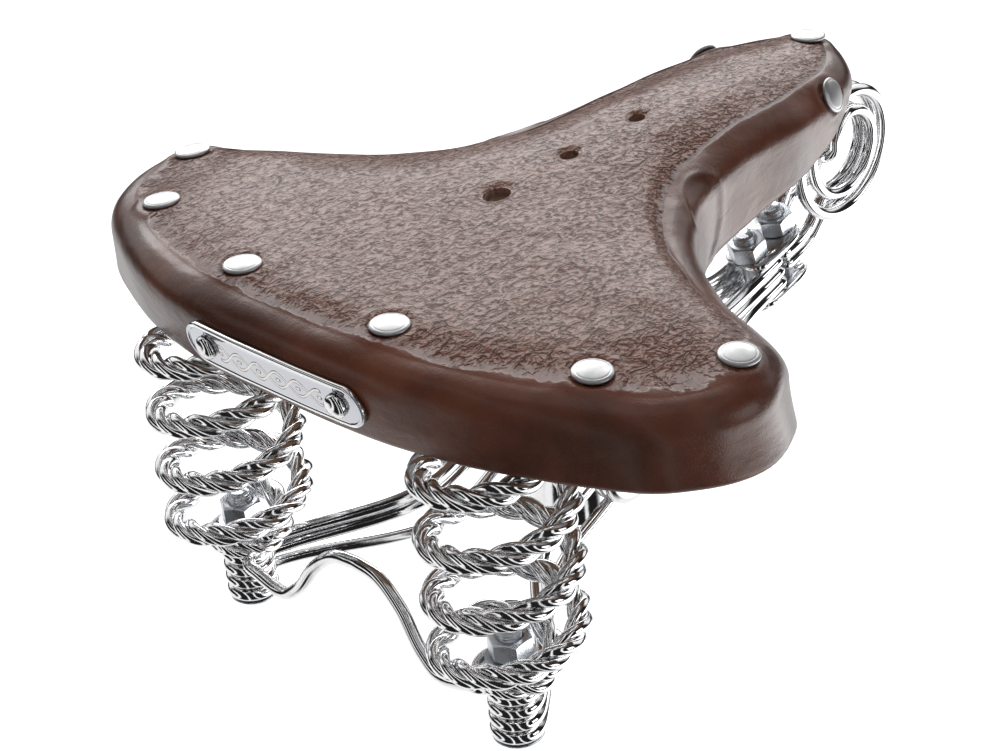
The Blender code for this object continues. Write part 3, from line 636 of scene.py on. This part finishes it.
def rivet_places():
    """Placing matrix of each rivet by name."""
    found = {}
    for side, word in SIDES:
        for (x, y), spot in zip(REAR_RIVETS, ("inner", "middle", "outer")):
            found[f"rivet_rear_{spot}_{word}"] = surface_place(side * x, y)
        around = FLANK_RIVET[0] if side > 0 else 1 - FLANK_RIVET[0]
        found[f"rivet_nose_{word}"] = skirt_place(around, FLANK_RIVET[1])
    found["rivet_nose_top"] = skirt_place(*NOSE_RIVET)
    return found


def make_leather():
    """The cover as a closed skin: outer and inner grids joined at the edge and the vents.

    Outer height along the normal adds a lip round each rivet, a dip at each vent, the pressed
    flank panel, the nose's crease and a slow unevenness; the inner grid lies one thickness in.
    """
    rows = 440
    around = np.arange(rows) / rows
    across = np.concatenate([np.linspace(0, 1, 58) ** 1.15, 1 + np.linspace(0, 1, 19)[1:]])
    across = np.concatenate([across, 2 + np.linspace(0, 1, 19)[1:]])
    cols = len(across)
    a, b = np.meshgrid(around, across, indexing="ij")
    base, normal = cover(a, b), cover_normal(a, b)
    x, y = base[..., 0], base[..., 1]
    lift = 0.12 * np.sin(x * 0.21 + 1.3 * np.sin(y * 0.09)) * np.sin(y * 0.17 + 0.6)
    lift *= smoothstep(0, 0.4, b)
    rear = 1 - smoothstep(0.28, 0.4, np.minimum(a, 1 - a))
    soften = smoothstep(0.75, 1.08, b) * (1 - smoothstep(1.08, 1.95, b)) * 2.0 * rear
    soften += smoothstep(0.4, 1.1, b) * (1 - smoothstep(1.1, 1.95, b)) * 1.6 * (1 - rear)
    for place in rivet_places().values():
        d = np.linalg.norm(base - place[:3, 3], axis=-1)
        soften *= 1 - np.exp(-((d / 8.0) ** 2))
        lift += 0.35 * np.exp(-(((d - 7.4) / 1.4) ** 2)) - 0.9 * np.exp(-((d / 5.6) ** 6))
    lift -= soften
    worn = np.zeros_like(b)
    hole = np.zeros(b.shape, bool)
    for middle, long, wide in VENTS:
        d = np.hypot(x / wide * 2, (y - middle) / long * 2)
        top = b < 1
        lift -= np.where(top, 0.8 * np.exp(-(((np.maximum(d, 1) - 1) / 0.35) ** 2)), 0)
        worn += np.where(top, np.exp(-(((d - 1.05) / 0.2) ** 2)), 0)
        inside = (d < 1) & top
        hole |= inside
        scale = 1 / np.maximum(d, 1e-3)
        base[..., 0] = np.where(inside, x * scale, base[..., 0])
        base[..., 1] = np.where(inside, middle + (y - middle) * scale, base[..., 1])
    folded = np.minimum(a, 1 - a)
    level = 1 - ((folded - PANEL[0]) / PANEL[2]) ** 2 - ((b - PANEL[1]) / PANEL[3]) ** 2
    lift += 0.4 * np.exp(-((level / 0.13) ** 2)) - 0.3 * smoothstep(0.1, 0.4, level)
    nose = smoothstep(0.36, 0.385, folded) * (1 - smoothstep(0.45, 0.48, folded))
    bead = 0.4 * np.exp(-(((b - 1.1) / 0.15) ** 2))
    lift += nose * (bead - 0.5 * np.exp(-(((b - 1.5) / 0.25) ** 2)))
    lift -= 0.9 * smoothstep(2.9, 3.0, b) ** 2
    outer = base + normal * lift[..., None]
    inner = base - normal * (LEATHER - 0.9 * smoothstep(2.9, 3.0, b) ** 2)[..., None]
    grid = np.arange(rows * cols).reshape(rows, cols)
    half = rows // 2
    grid[half + 1 :, 0] = grid[1:half, 0][::-1]
    faces = grid.ravel()[quads(rows, cols, True, False)]
    faces = faces[~hole.ravel()[quads(rows, cols, True, False)].all(1)]
    faces = faces[:, ::-1]
    edges = np.concatenate([faces[:, [k, (k + 1) % 4]] for k in range(4)])
    key = np.sort(edges, 1) @ [rows * cols, 1]
    _, first, count = np.unique(key, return_index=True, return_counts=True)
    rim = edges[first[count == 1]]
    n = rows * cols
    walls = np.stack([rim[:, 1], rim[:, 0], rim[:, 0] + n, rim[:, 1] + n], 1)
    points = np.concatenate([outer.reshape(-1, 3), inner.reshape(-1, 3)])
    every = np.concatenate([faces, faces[:, ::-1] + n, walls])
    used = np.unique(every)
    index = np.zeros(2 * n, int)
    index[used] = np.arange(len(used))
    panel = smoothstep(-0.25, 0.1, level)
    # The grain ends sooner at the rear; beyond it the leather takes the darker skirt colour, partly
    # painted shade.
    fade = 1 - smoothstep(0.93 - 0.08 * rear, 1.22 - 0.16 * rear, b)
    grain = fade * (1 - panel)
    # rim: the band where the top rolls over. The leather paints it darker as painted shade and puts
    # its scuffs there.
    edge = np.exp(-(((b - 1.02) / 0.2) ** 2)) * (1 - panel)
    cut = smoothstep(2.93, 2.99, b)
    zero = np.zeros(n)
    attributes = {
        "grain": np.concatenate([grain.ravel(), zero])[used],
        "rim": np.concatenate([edge.ravel(), zero])[used],
        "vent": np.concatenate([worn.ravel(), zero])[used],
        "raw": np.concatenate([cut.ravel(), zero + 1])[used],
    }
    put("leather_skin", points[used], index[every], "leather", TOP, ["leather_cover"], attributes)


def make_plates():
    """The two steel plates: strips of the cover's shape, moved in by the leather's thickness."""
    for name, around, across, depth in (
        ("cantle_plate", np.linspace(-0.2344, 0.2344, 160), np.linspace(0.6, 0.98, 24), CANTLE),
        ("nose_plate", np.linspace(0.4375, 0.5625, 90), np.linspace(0.02, 2.5, 60), NOSE_STEEL),
    ):
        a, b = np.meshgrid(around, across, indexing="ij")
        base, normal = cover(a, b), cover_normal(a, b)
        near = base - normal * (LEATHER + PLATE_GAP)
        far = base - normal * (LEATHER + PLATE_GAP + depth)
        loop = np.concatenate([near, far[:, ::-1]], 1)
        faces = quads(len(around), loop.shape[1], False, True)
        wide = loop.shape[1]
        last = (len(around) - 1) * wide
        caps = []
        for j in range(len(across) - 1):
            caps.append((j, j + 1, wide - 2 - j, wide - 1 - j))
            caps.append((last + j + 1, last + j, last + wide - 1 - j, last + wide - 2 - j))
        faces = np.concatenate([faces[:, ::-1], np.array(caps)[:, ::-1]])
        put(f"{name}_pressed", loop.reshape(-1, 3), faces, "steel", TOP, [name], weld=True)


def make_rivets():
    """Rivets turned from a shallow dome profile with a rolled rim and a shank."""
    profile = [(0, -9.5), (2.5, -9.2), (2.5, -8.3), (1.9, -8.2), (1.9, -0.6), (RIVET_R - 0.3, -0.6)]
    dome = [(RIVET_R, -0.3), (RIVET_R, 0.05), (RIVET_R - 0.15, 0.3), (RIVET_R - 0.6, 0.5)]
    dome += [(4.6, 0.58), (4.4, 0.5)]
    crown = [(r, 0.5 + 0.5 * (1 - (r / (RIVET_R - 0.6)) ** 2)) for r in np.linspace(4.2, 0, 10)]
    for name, place in rivet_places().items():
        points, faces = lathe([*profile, *dome, *crown], 64, place)
        put(f"{name}_head", points, faces, "silver", TOP, [name], weld=True)


def make_badge():
    """The badge: a stadium outline scaled in to its middle line, bent onto the rear skirt."""
    turn = np.linspace(0, 2 * math.pi, 120, endpoint=False)
    core = np.where(np.abs(np.cos(turn)) > 0.12, np.sign(np.cos(turn)), np.cos(turn) / 0.12)
    spine = core * (BADGE_HALF - BADGE_R)
    shape = [(0.0, 1.0), (0.3, 1.0), (0.6, 1.0), (0.78, 1.0), (0.81, 1.25), (0.85, 1.4)]
    shape += [(0.92, 1.4), (0.97, 1.3), (1.0, 1.0), (1.0, 0.2), (0.9, 0.05), (0.5, 0.0), (0.0, 0.0)]
    width = np.linalg.norm(cover(0.01, BADGE_ACROSS) - cover(-0.01, BADGE_ACROSS)) / 0.02
    drop = np.linalg.norm(cover(0, BADGE_ACROSS + 0.1) - cover(0, BADGE_ACROSS - 0.1)) / 0.2
    share = np.array([s for s, _ in shape])[:, None]
    rise = np.array([h for _, h in shape])[:, None] + BADGE_RISE + 0 * turn
    s = spine + share * BADGE_R * np.cos(turn) * np.where(np.abs(core) < 1, 0, 1)
    t = share * BADGE_R * np.sin(turn) + 0 * s
    u, v = s / width, BADGE_ACROSS - t / drop
    points = cover(u, v) + cover_normal(u, v) * rise[..., None]
    faces = quads(len(shape), len(turn), False, True)
    flat = {"s": s.ravel(), "t": t.ravel()}
    put("badge_face", points.reshape(-1, 3), faces, "badge", TOP, ["badge_plate"], flat)
    profile = [(0, -6.8), (1.4, -6.6), (1.4, 1.4), (PIN_R, 1.4), (PIN_R + 0.1, 1.7)]
    quarter = np.linspace(0.05, math.pi / 2, 9)
    profile += [(PIN_R * math.cos(w), 1.9 + 1.9 * math.sin(w)) for w in quarter]
    for side, word in SIDES:
        ends = lathe(profile, 40, skirt_place((side * BADGE_PIN) % 1, BADGE_ACROSS))
        put(f"badge_pin_{word}", *ends, "pin", TOP, [f"badge_rivet_{word}"], weld=True)


# ---------------------------------------------------------------- springs and wires


def spring_centre(side):
    """The rope's middle: an eye, an opening turn, even turns and the same end above."""
    low = np.array(SPRING_LOW)
    high = np.array(SPRING_HIGH)[::-1]
    turn = np.concatenate([low[:, 0], TURNS - high[:, 0]])
    climb = np.concatenate([SPRING_FOOT + low[:, 1], SPRING_HEAD - high[:, 1]])
    reach = np.concatenate([low[:, 2], high[:, 2]])
    share = np.linspace(-EYE_TURN, TURNS + EYE_TURN, 70)
    angle = math.radians(SPRING_START) + 2 * math.pi * share
    radius = np.interp(share, turn, reach)
    knots = np.stack(
        [
            side * SPRING[0] + radius * np.cos(angle),
            SPRING[1] + radius * np.sin(angle),
            np.interp(share, turn, climb),
        ],
        -1,
    )
    return curve_through(knots, 620)


def make_springs():
    """Each rope: strands wound round its middle line at a fixed lay, as round bars."""
    for side, word in SIDES:
        centre = spring_centre(side)
        normal, other = frames_along(centre)
        step = np.linalg.norm(np.diff(centre, axis=0), axis=1)
        length = np.concatenate([[0], np.cumsum(step)])[:, None]
        strands = []
        for k in range(STRANDS):
            angle = 2 * math.pi * (length / LAY + k / STRANDS)
            path = centre + (ROPE + 0.1 - STRAND) * (normal * np.cos(angle) + other * np.sin(angle))
            strands.append(tube(path, STRAND, 12))
        node = f"rear_spring_{word}"
        obj = put(f"rope_spring_{word}", *joined(strands), "chrome", None, [node])
        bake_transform(obj)


def ring_path(side, height, start, turn, count=24):
    angle = np.radians(start + turn * np.linspace(0, 1, count + 1))
    x = side * (SPRING[0] + RING_R * np.cos(angle))
    return np.stack([x, SPRING[1] + RING_R * np.sin(angle), height + 0 * angle], -1)


def along_rail(x, offset, distance):
    y = distance * math.cos(RAIL_TILT) - offset * math.sin(RAIL_TILT)
    return np.array([x, y, distance * math.sin(RAIL_TILT) + offset * math.cos(RAIL_TILT)])


def in_clamp(x, layer, distance):
    offset = layer * RING_STEP
    y = CLAMP_MIDDLE + distance * math.cos(CLAMP_TILT) - offset * math.sin(CLAMP_TILT)
    z = CLAMP_Z + distance * math.sin(CLAMP_TILT) + offset * math.cos(CLAMP_TILT)
    return np.array([x, y, z])


def ease(start, end, leave, arrive, count):
    """Points strictly between two ends on a cubic that leaves and arrives along the aims."""
    reach = np.linalg.norm(end - start)
    first, last = unit(np.array(leave, float)) * reach, unit(np.array(arrive, float)) * reach
    u = (np.arange(1, count + 1) / (count + 1))[:, None]
    return (
        (1 + 2 * u) * (1 - u) ** 2 * start
        + u * (1 - u) ** 2 * first
        + u * u * (3 - 2 * u) * end
        + u * u * (u - 1) * last
    )


def evened(path, step=1.0):
    length = np.linalg.norm(np.diff(path, axis=0), axis=1).sum()
    return curve_through(path, max(int(length / step), 8))


def make_rails():
    """Three wires a side: a stacked eye, a straight run through the clip, the front clamp."""
    tilt = along_rail(0, 0, 1)
    toward = (0, math.cos(CLAMP_TILT), math.sin(CLAMP_TILT))
    for side, word in SIDES:
        for layer, spot in enumerate(("upper", "middle", "lower")):
            eye = ring_path(side, RING_TOP - (layer + 1) * RING_STEP, 87, 300)
            low = along_rail(side * RAIL_X, RAIL_OFFSETS[layer], CLIP_ALONG - RAIL_HALF)
            high = along_rail(side * RAIL_X, RAIL_OFFSETS[layer], CLIP_ALONG + RAIL_HALF)
            grip = in_clamp(side * CLAMP_X, 1 - layer, -CLAMP_HALF)
            end = in_clamp(side * CLAMP_X, 1 - layer, -0.5)
            path = np.concatenate(
                [
                    eye,
                    ease(eye[-1], low, (side * -0.45, 0.9, 0.3), tilt, 9),
                    [low + (high - low) * u for u in np.linspace(0, 1, 6)],
                    ease(high, grip, tilt, toward, 9),
                    [grip, (grip + end) / 2, end],
                ]
            )
            bar = tube(evened(path), WIRE)
            put(f"wire_{spot}_{word}", *bar, "chrome", FRAME, [f"rail_{spot}_{word}"])


def make_cross_wire():
    bend = [(x, SPRING[1] - RING_R + 0.1 * lift, RING_TOP + lift) for x, lift in CROSS_HUMP]
    right = np.concatenate([ring_path(1, RING_TOP, 30, -300)[:-1], curve_through(bend, 22)])
    left = right[:-1][::-1] * [-1, 1, 1]
    path = evened(np.concatenate([right, left]))
    put("wire_cross", *tube(path, WIRE), "chrome", FRAME, ["rear_cross_wire"])


def loops(radius, layer):
    """A coil wire's right half, from the clamp through its loops."""
    aim = (0, math.cos(CLAMP_TILT), math.sin(CLAMP_TILT))
    start = in_clamp(CLAMP_X, layer, 0.5)
    leave = in_clamp(CLAMP_X, layer, CLAMP_HALF - 0.5)
    join = np.array([COIL_SHIFT[0], COIL_Y, COIL_Z - radius])
    share = np.linspace(0, 1, 61)
    angle = np.radians(COIL_TURN * share - 90)
    x = COIL_SHIFT[0] + (COIL_SHIFT[1] - COIL_SHIFT[0]) * share
    turns = np.stack([x, COIL_Y + radius * np.cos(angle), COIL_Z + radius * np.sin(angle)], -1)
    return np.concatenate([[start, leave], ease(leave, join, aim, (0, 1, 0), 4), turns])


def make_coils():
    """The nose's two coil wires, each mirrored about the middle of its cross bar."""
    outer = np.concatenate([loops(COIL_RADII[0], 0), OVER, [(3, *BARS[0])]])
    inner = loops(COIL_RADII[1], 1)
    top = COIL_TURN - 90
    share = np.arange(1, 7)[:, None] / 6
    angle = np.radians(top + (CURL[1] - top) * share)
    radius = COIL_RADII[1] + (CURL[0] - COIL_RADII[1]) * share
    curl = np.concatenate(
        [
            COIL_SHIFT[1] + 0 * angle,
            COIL_Y + radius * np.cos(angle),
            COIL_Z + radius * np.sin(angle),
        ],
        1,
    )
    bar = np.array([3, *BARS[1]])
    lead = ease(curl[-1], bar, (-0.2, -0.5, -0.9), (-1, 0, 0), 4)
    inner = np.concatenate([inner, curl, lead, [bar]])
    for word, route in (("outer", outer), ("inner", inner)):
        path = evened(np.concatenate([route, route[::-1] * [-1, 1, 1]]))
        obj = put(f"nose_coil_{word}", *tube(path, WIRE), "chrome", None, [f"front_coil_{word}"])
        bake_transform(obj)


# ---------------------------------------------------------------- bolts, clip and clamp


def make_stacks():
    """Bolt, washer and nut of each rear stack, and the stud and nut above each spring."""
    foot = RING_TOP - 3 * RING_STEP - WIRE - GAP
    seat = SPRING_FOOT + ROPE + GAP
    tip = seat + WASHER + 2 * GAP + NUT_TALL + 3
    for side, word in SIDES:
        x = side * SPRING[0]
        place = at(x, SPRING[1], 0)
        head = rounded([(0, foot - 1.7), (6, foot - 1.5), (7.5, foot), (BOLT_R, foot)], 0.5)
        parts = [lathe([*head, (3.2, foot), (3.2, tip - 10), (0, tip - 10)], 48, place)]
        parts.append(screw(BOLT_R, tip - 12, tip, place))
        put(f"stack_bolt_{word}", *joined(parts), "zinc", FRAME, [f"rear_bolt_{word}"], weld=True)
        edge = [(3.8, 0), (WASHER_R, 0), (WASHER_R, WASHER), (3.8, WASHER), (3.8, 0)]
        ring = lathe(rounded(edge, 0.25)[1:], 48, at(x, SPRING[1], seat), True)
        put(f"stack_washer_{word}", *ring, "zinc", FRAME, [f"rear_washer_{word}"])
        spot = at(x, SPRING[1], seat + WASHER + GAP)
        shape = hex_nut(NUT_AF, BOLT_R + THREAD_SLACK, NUT_TALL, spot)
        put(f"stack_nut_{word}", *shape, "zinc", FRAME, [f"rear_nut_{word}"], smooth=25)
        eye = SPRING_HEAD
        low = eye - ROPE - GAP - NUT_TALL - 2
        flange = [(2.8, eye), (2.8, eye + 3.8), (6, eye + 3.8), (6, eye + 4.4), (2.4, eye + 4.4)]
        shank = lathe([(0, eye), *flange, (2.4, eye + 6.5), (0, eye + 6.5)], 40, place)
        parts = [shank, screw(2.8, low, eye + 1, place)]
        put(f"stud_{word}", *joined(parts), "zinc", TOP, [f"spring_stud_{word}"], weld=True)
        spot = at(x, SPRING[1], eye - ROPE - GAP - NUT_TALL)
        shape = hex_nut(8.2, 2.9, NUT_TALL, spot)
        put(f"stud_hex_{word}", *shape, "zinc", TOP, [f"stud_nut_{word}"], smooth=25)


def make_clip():
    """The seat-post clip: collar with two ears, four cheeks, the cross bolt and its nuts."""
    back = -SHIFT
    wall = rounded([(11.1, -22), (15, -22), (15, 15), (11.1, 15), (11.1, -22), (15, -22)], 0.7)
    band = lathe(wall[1:-1], 96, at(*back), True)
    ear = [(3.3, 12.6), (11, 12.6), (12, 13.2), (12, 15.8), (11, 16.5), (3.3, 16.5), (3.3, 12.6)]
    parts = [band]
    for side, word in SIDES:
        axis = at(*back, axis=(side, 0, 0))
        parts.append(lathe(ear[:-1], 64, axis, True))
        inner = [(3.3, 16.8), (11.3, 16.8), (12.8, 18.2), (12.8, 20.7), (3.3, 20.7), (3.3, 16.8)]
        outer = [(3.3, 21.3), (12.8, 21.3), (12.8, 23.6), (11, 24.8)]
        outer += [(8.5, 25.5), (3.3, 25.5), (3.3, 21.3)]
        for spot, edge in (("inner", inner), ("outer", outer)):
            disc = lathe(rounded(edge, 0.6)[1:], 72, axis, True)
            node = f"clip_cheek_{spot}_{word}"
            put(f"{node}_disc", *disc, "chrome", CHEEKS, [node])
        spot = at(side * 25.8 + back[0], back[1], back[2], (side, 0, 0))
        shape = hex_nut(12, BOLT_R + THREAD_SLACK, NUT_TALL, spot)
        put(f"clip_hex_{word}", *shape, "zinc", CHEEKS, [f"clip_nut_{word}"], smooth=25)
    put("post_collar", *joined(parts), "chrome", POST, ["clip_collar"])
    right, left = at(*back, axis=(1, 0, 0)), at(*back, axis=(-1, 0, 0))
    bolt = [screw(3.5, 14, 33.7, right), screw(3.5, 14, 33.7, left)]
    bolt.append(lathe([(0, -15), (3.1, -15), (3.1, 15), (0, 15)], 32, right))
    put("cross_bolt", *joined(bolt), "zinc", CHEEKS, ["clip_bolt"], weld=True)


def make_clamp():
    """Two rounded plates, bolts and nuts that pinch the rails and the coil wires together."""
    aim = (0, -math.sin(CLAMP_TILT), math.cos(CLAMP_TILT))
    reach = 1.5 * RING_STEP + GAP
    turn = np.linspace(0, 2 * math.pi, 96, endpoint=False)
    wide = CLAMP_X + WIRE + 0.5
    x = wide * np.sign(np.cos(turn)) * np.abs(np.cos(turn)) ** 0.6
    y = CLAMP_HALF * np.sign(np.sin(turn)) * np.abs(np.sin(turn)) ** 0.6
    edge = [(0, 0), (0.5, 0), (0.93, 0), (0.98, 0.25), (1, 0.7), (1, PLATE - 0.7)]
    edge += [(0.98, PLATE - 0.25), (0.93, PLATE), (0.5, PLATE), (0, PLATE)]
    share = np.array([s for s, _ in edge])[:, None]
    rise = np.array([h for _, h in edge])[:, None]
    for word, low in (("upper", reach), ("lower", -reach - PLATE)):
        points = np.stack([x * share, y * share, low + rise + 0 * turn], -1).reshape(-1, 3)
        points = placed(points, at(0, CLAMP_MIDDLE, CLAMP_Z, aim))
        faces = quads(len(edge), len(turn), False, True)
        put(f"clamp_{word}", points, faces, "chrome", FRAME, [f"front_clamp_{word}"], weld=True)
    for distance, word in ((-BOLT_STEP / 2, "rear"), (BOLT_STEP / 2, "front")):
        place = at(*in_clamp(0, 0, distance), axis=aim)
        foot = -reach - PLATE - GAP
        top = reach + PLATE + GAP
        head = [(0, foot - 3), (4.5, foot - 2.6), (6, foot - 1), (6, foot), (3.1, foot)]
        head = rounded(head, 0.6)
        parts = [lathe([*head, (3.1, top), (0, top)], 48, place)]
        parts.append(screw(BOLT_R, top - 2, top + NUT_TALL + 2.5, place))
        node = f"clamp_bolt_{word}"
        put(f"{node}_turned", *joined(parts), "zinc", FRAME, [node], weld=True)
        spot = place @ at(0, 0, top)
        shape = hex_nut(NUT_AF, BOLT_R + THREAD_SLACK, NUT_TALL, spot)
        put(f"clamp_hex_{word}", *shape, "zinc", FRAME, [f"clamp_nut_{word}"], smooth=25)


def make_nose():
    """The tension bolt and nut; the shackle block keeps its own shape."""
    axis = at(0, 0, TENSION_Z, (0, 1, 0))
    thread = (TENSION_TAIL, TENSION_THREAD_END)
    head = rounded([(1.8, 116), (1.8, 124.6), (3.2, 124.6), (2.8, 126.4), (0, 126.8)], 0.4)
    turned, (points, faces) = lathe([(0, 116), *head], 40, axis), screw(TENSION_R, *thread, axis)
    flipped = points * [1, -1, 1] + [0, sum(thread), 0], faces[:, ::-1]
    put("tension_screw", *joined([turned, flipped]), "zinc", TOP, ["tension_bolt"], weld=True)
    shape = hex_nut(7, TENSION_R + THREAD_SLACK, 4.5, at(0, 107.7, TENSION_Z, (0, 1, 0)))
    put("tension_hex", *shape, "zinc", "tension_nut", ["tension_nut"], smooth=25)
    block = next(o for o in bpy.data.objects if o.name == "nose_shackle")
    for slot in block.material_slots:
        slot.material = LOOKS["steel"]


# ---------------------------------------------------------------- floor, light and camera


def plain(name, colour, rough):
    looks = Looks(name, Base_Color=colour, Roughness=rough)
    return looks.material


def card(name, place, size, look):
    """A flat sheet of the given size, facing its place's Z, left out of reflections."""
    mesh = bpy.data.meshes.new(name)
    w, h = size[0] / 2, size[1] / 2
    mesh.from_pydata([(-w, -h, 0), (w, -h, 0), (w, h, 0), (-w, h, 0)], [], [(0, 1, 2, 3)])
    mesh.materials.append(look)
    obj = bpy.data.objects.new(name, mesh)
    obj.matrix_world = place
    obj.visible_glossy = False
    bpy.context.scene.collection.objects.link(obj)


def facing(place, target=(0, 0, 0.04)):
    """A matrix at a place whose Z points to the target."""
    aim = Vector(target) - Vector(place)
    turn = aim.to_track_quat("Z", "Y").to_matrix().to_4x4()
    return Matrix.Translation(place) @ turn


def light(name, place, size, power, colour=(1, 1, 1)):
    lamp = bpy.data.lights.new(name, "AREA")
    lamp.shape = "RECTANGLE"
    lamp.size, lamp.size_y = size
    lamp.energy = power
    lamp.color = colour
    obj = bpy.data.objects.new(name, lamp)
    obj.matrix_world = facing(place) @ Matrix.Rotation(math.pi, 4, "X")
    bpy.context.scene.collection.objects.link(obj)
    return obj


def make_world():
    """Even white to matt surfaces; to gloss, a studio: white above and beyond, dark this side.

    For a direction (x, y, z) seen in gloss, white = over + beyond + below + strips: over rises
    with z, beyond and below rise with y - x, and strips are narrow waves of x + y on this side.
    """
    looks = Looks("studio", "worlds", "Background")
    at = looks.node("ShaderNodeTexCoord", {}, {}, "Generated")
    x, y, z = (looks.node("ShaderNodeSeparateXYZ", {}, {0: at}, k) for k in range(3))
    beyond = (y - x).ramp(-0.15, 0.55)
    over = z.ramp(0.93, 0.97) * 0.7
    middle = z.ramp(0.02, 0.12) * (y - x).ramp(0.35, 0.75)
    below = (z * -1.0).ramp(0.2, 0.32) * (y - x).ramp(-0.45, 0.1)
    strips = ((x + y) * 9.0 + z * 2.0).math("SINE").ramp(0.72, 0.86) * (1.0 - beyond)
    under = (z * -1.0).ramp(0.86, 0.93) * 0.6
    flash = (x + y).ramp(0.75, 1.1) * (z * -1.0).ramp(0.1, 0.35) * 3.2
    gloss = over.math("MAXIMUM", middle).math("MAXIMUM", below).math("MAXIMUM", strips)
    gloss = gloss.math("MAXIMUM", under) * 1.05 + flash + 0.015
    seen = looks.node("ShaderNodeLightPath", {}, {}, "Is Glossy Ray")
    looks.set(Strength=seen * (gloss - 0.8) + 0.8)
    looks.set(Color=(1, 1, 1, 1))
    bpy.context.scene.world = looks.material
    bpy.context.scene.view_settings.view_transform = "Standard"


def make_stage():
    floor = plain("floor_pale", (0.95, 0.95, 0.95, 1), 0.9)
    card("floor", Matrix.Translation((0, 0, FLOOR_Z)), (FLOOR_SIZE, FLOOR_SIZE), floor)
    light("key", (-1.35, 1.3, 1.0), (2.2, 0.9), 27)
    light("over", (0.1, -0.1, 2.0), (1.6, 1.6), 20).visible_glossy = False
    light("side", (1.7, 0.7, 0.5), (0.8, 0.8), 5)


def make_camera():
    """The camera, aimed by its yaw, its pitch below level and its roll."""
    yaw, pitch, roll = (math.radians(a) for a in CAMERA_TURN)
    level = math.cos(pitch)
    ahead = Vector((math.sin(yaw) * level, math.cos(yaw) * level, -math.sin(pitch)))
    right = ahead.cross(Vector((0, 0, 1))).normalized()
    up = right.cross(ahead)
    across = right * math.cos(roll) + up * math.sin(roll)
    tall = up * math.cos(roll) - right * math.sin(roll)
    camera = bpy.data.cameras.new("camera")
    camera.lens = LENS
    camera.sensor_width = FILM
    camera.clip_start = 0.01
    obj = bpy.data.objects.new("camera", camera)
    place = Matrix((across, tall, -ahead)).transposed().to_4x4()
    place.translation = CAMERA_AT
    obj.matrix_world = place
    bpy.context.scene.collection.objects.link(obj)
    bpy.context.scene.camera = obj


make_leather()
make_plates()
make_rivets()
make_badge()
make_springs()
make_rails()
make_cross_wire()
make_coils()
make_stacks()
make_clip()
make_clamp()
make_nose()
make_world()
make_stage()
make_camera()
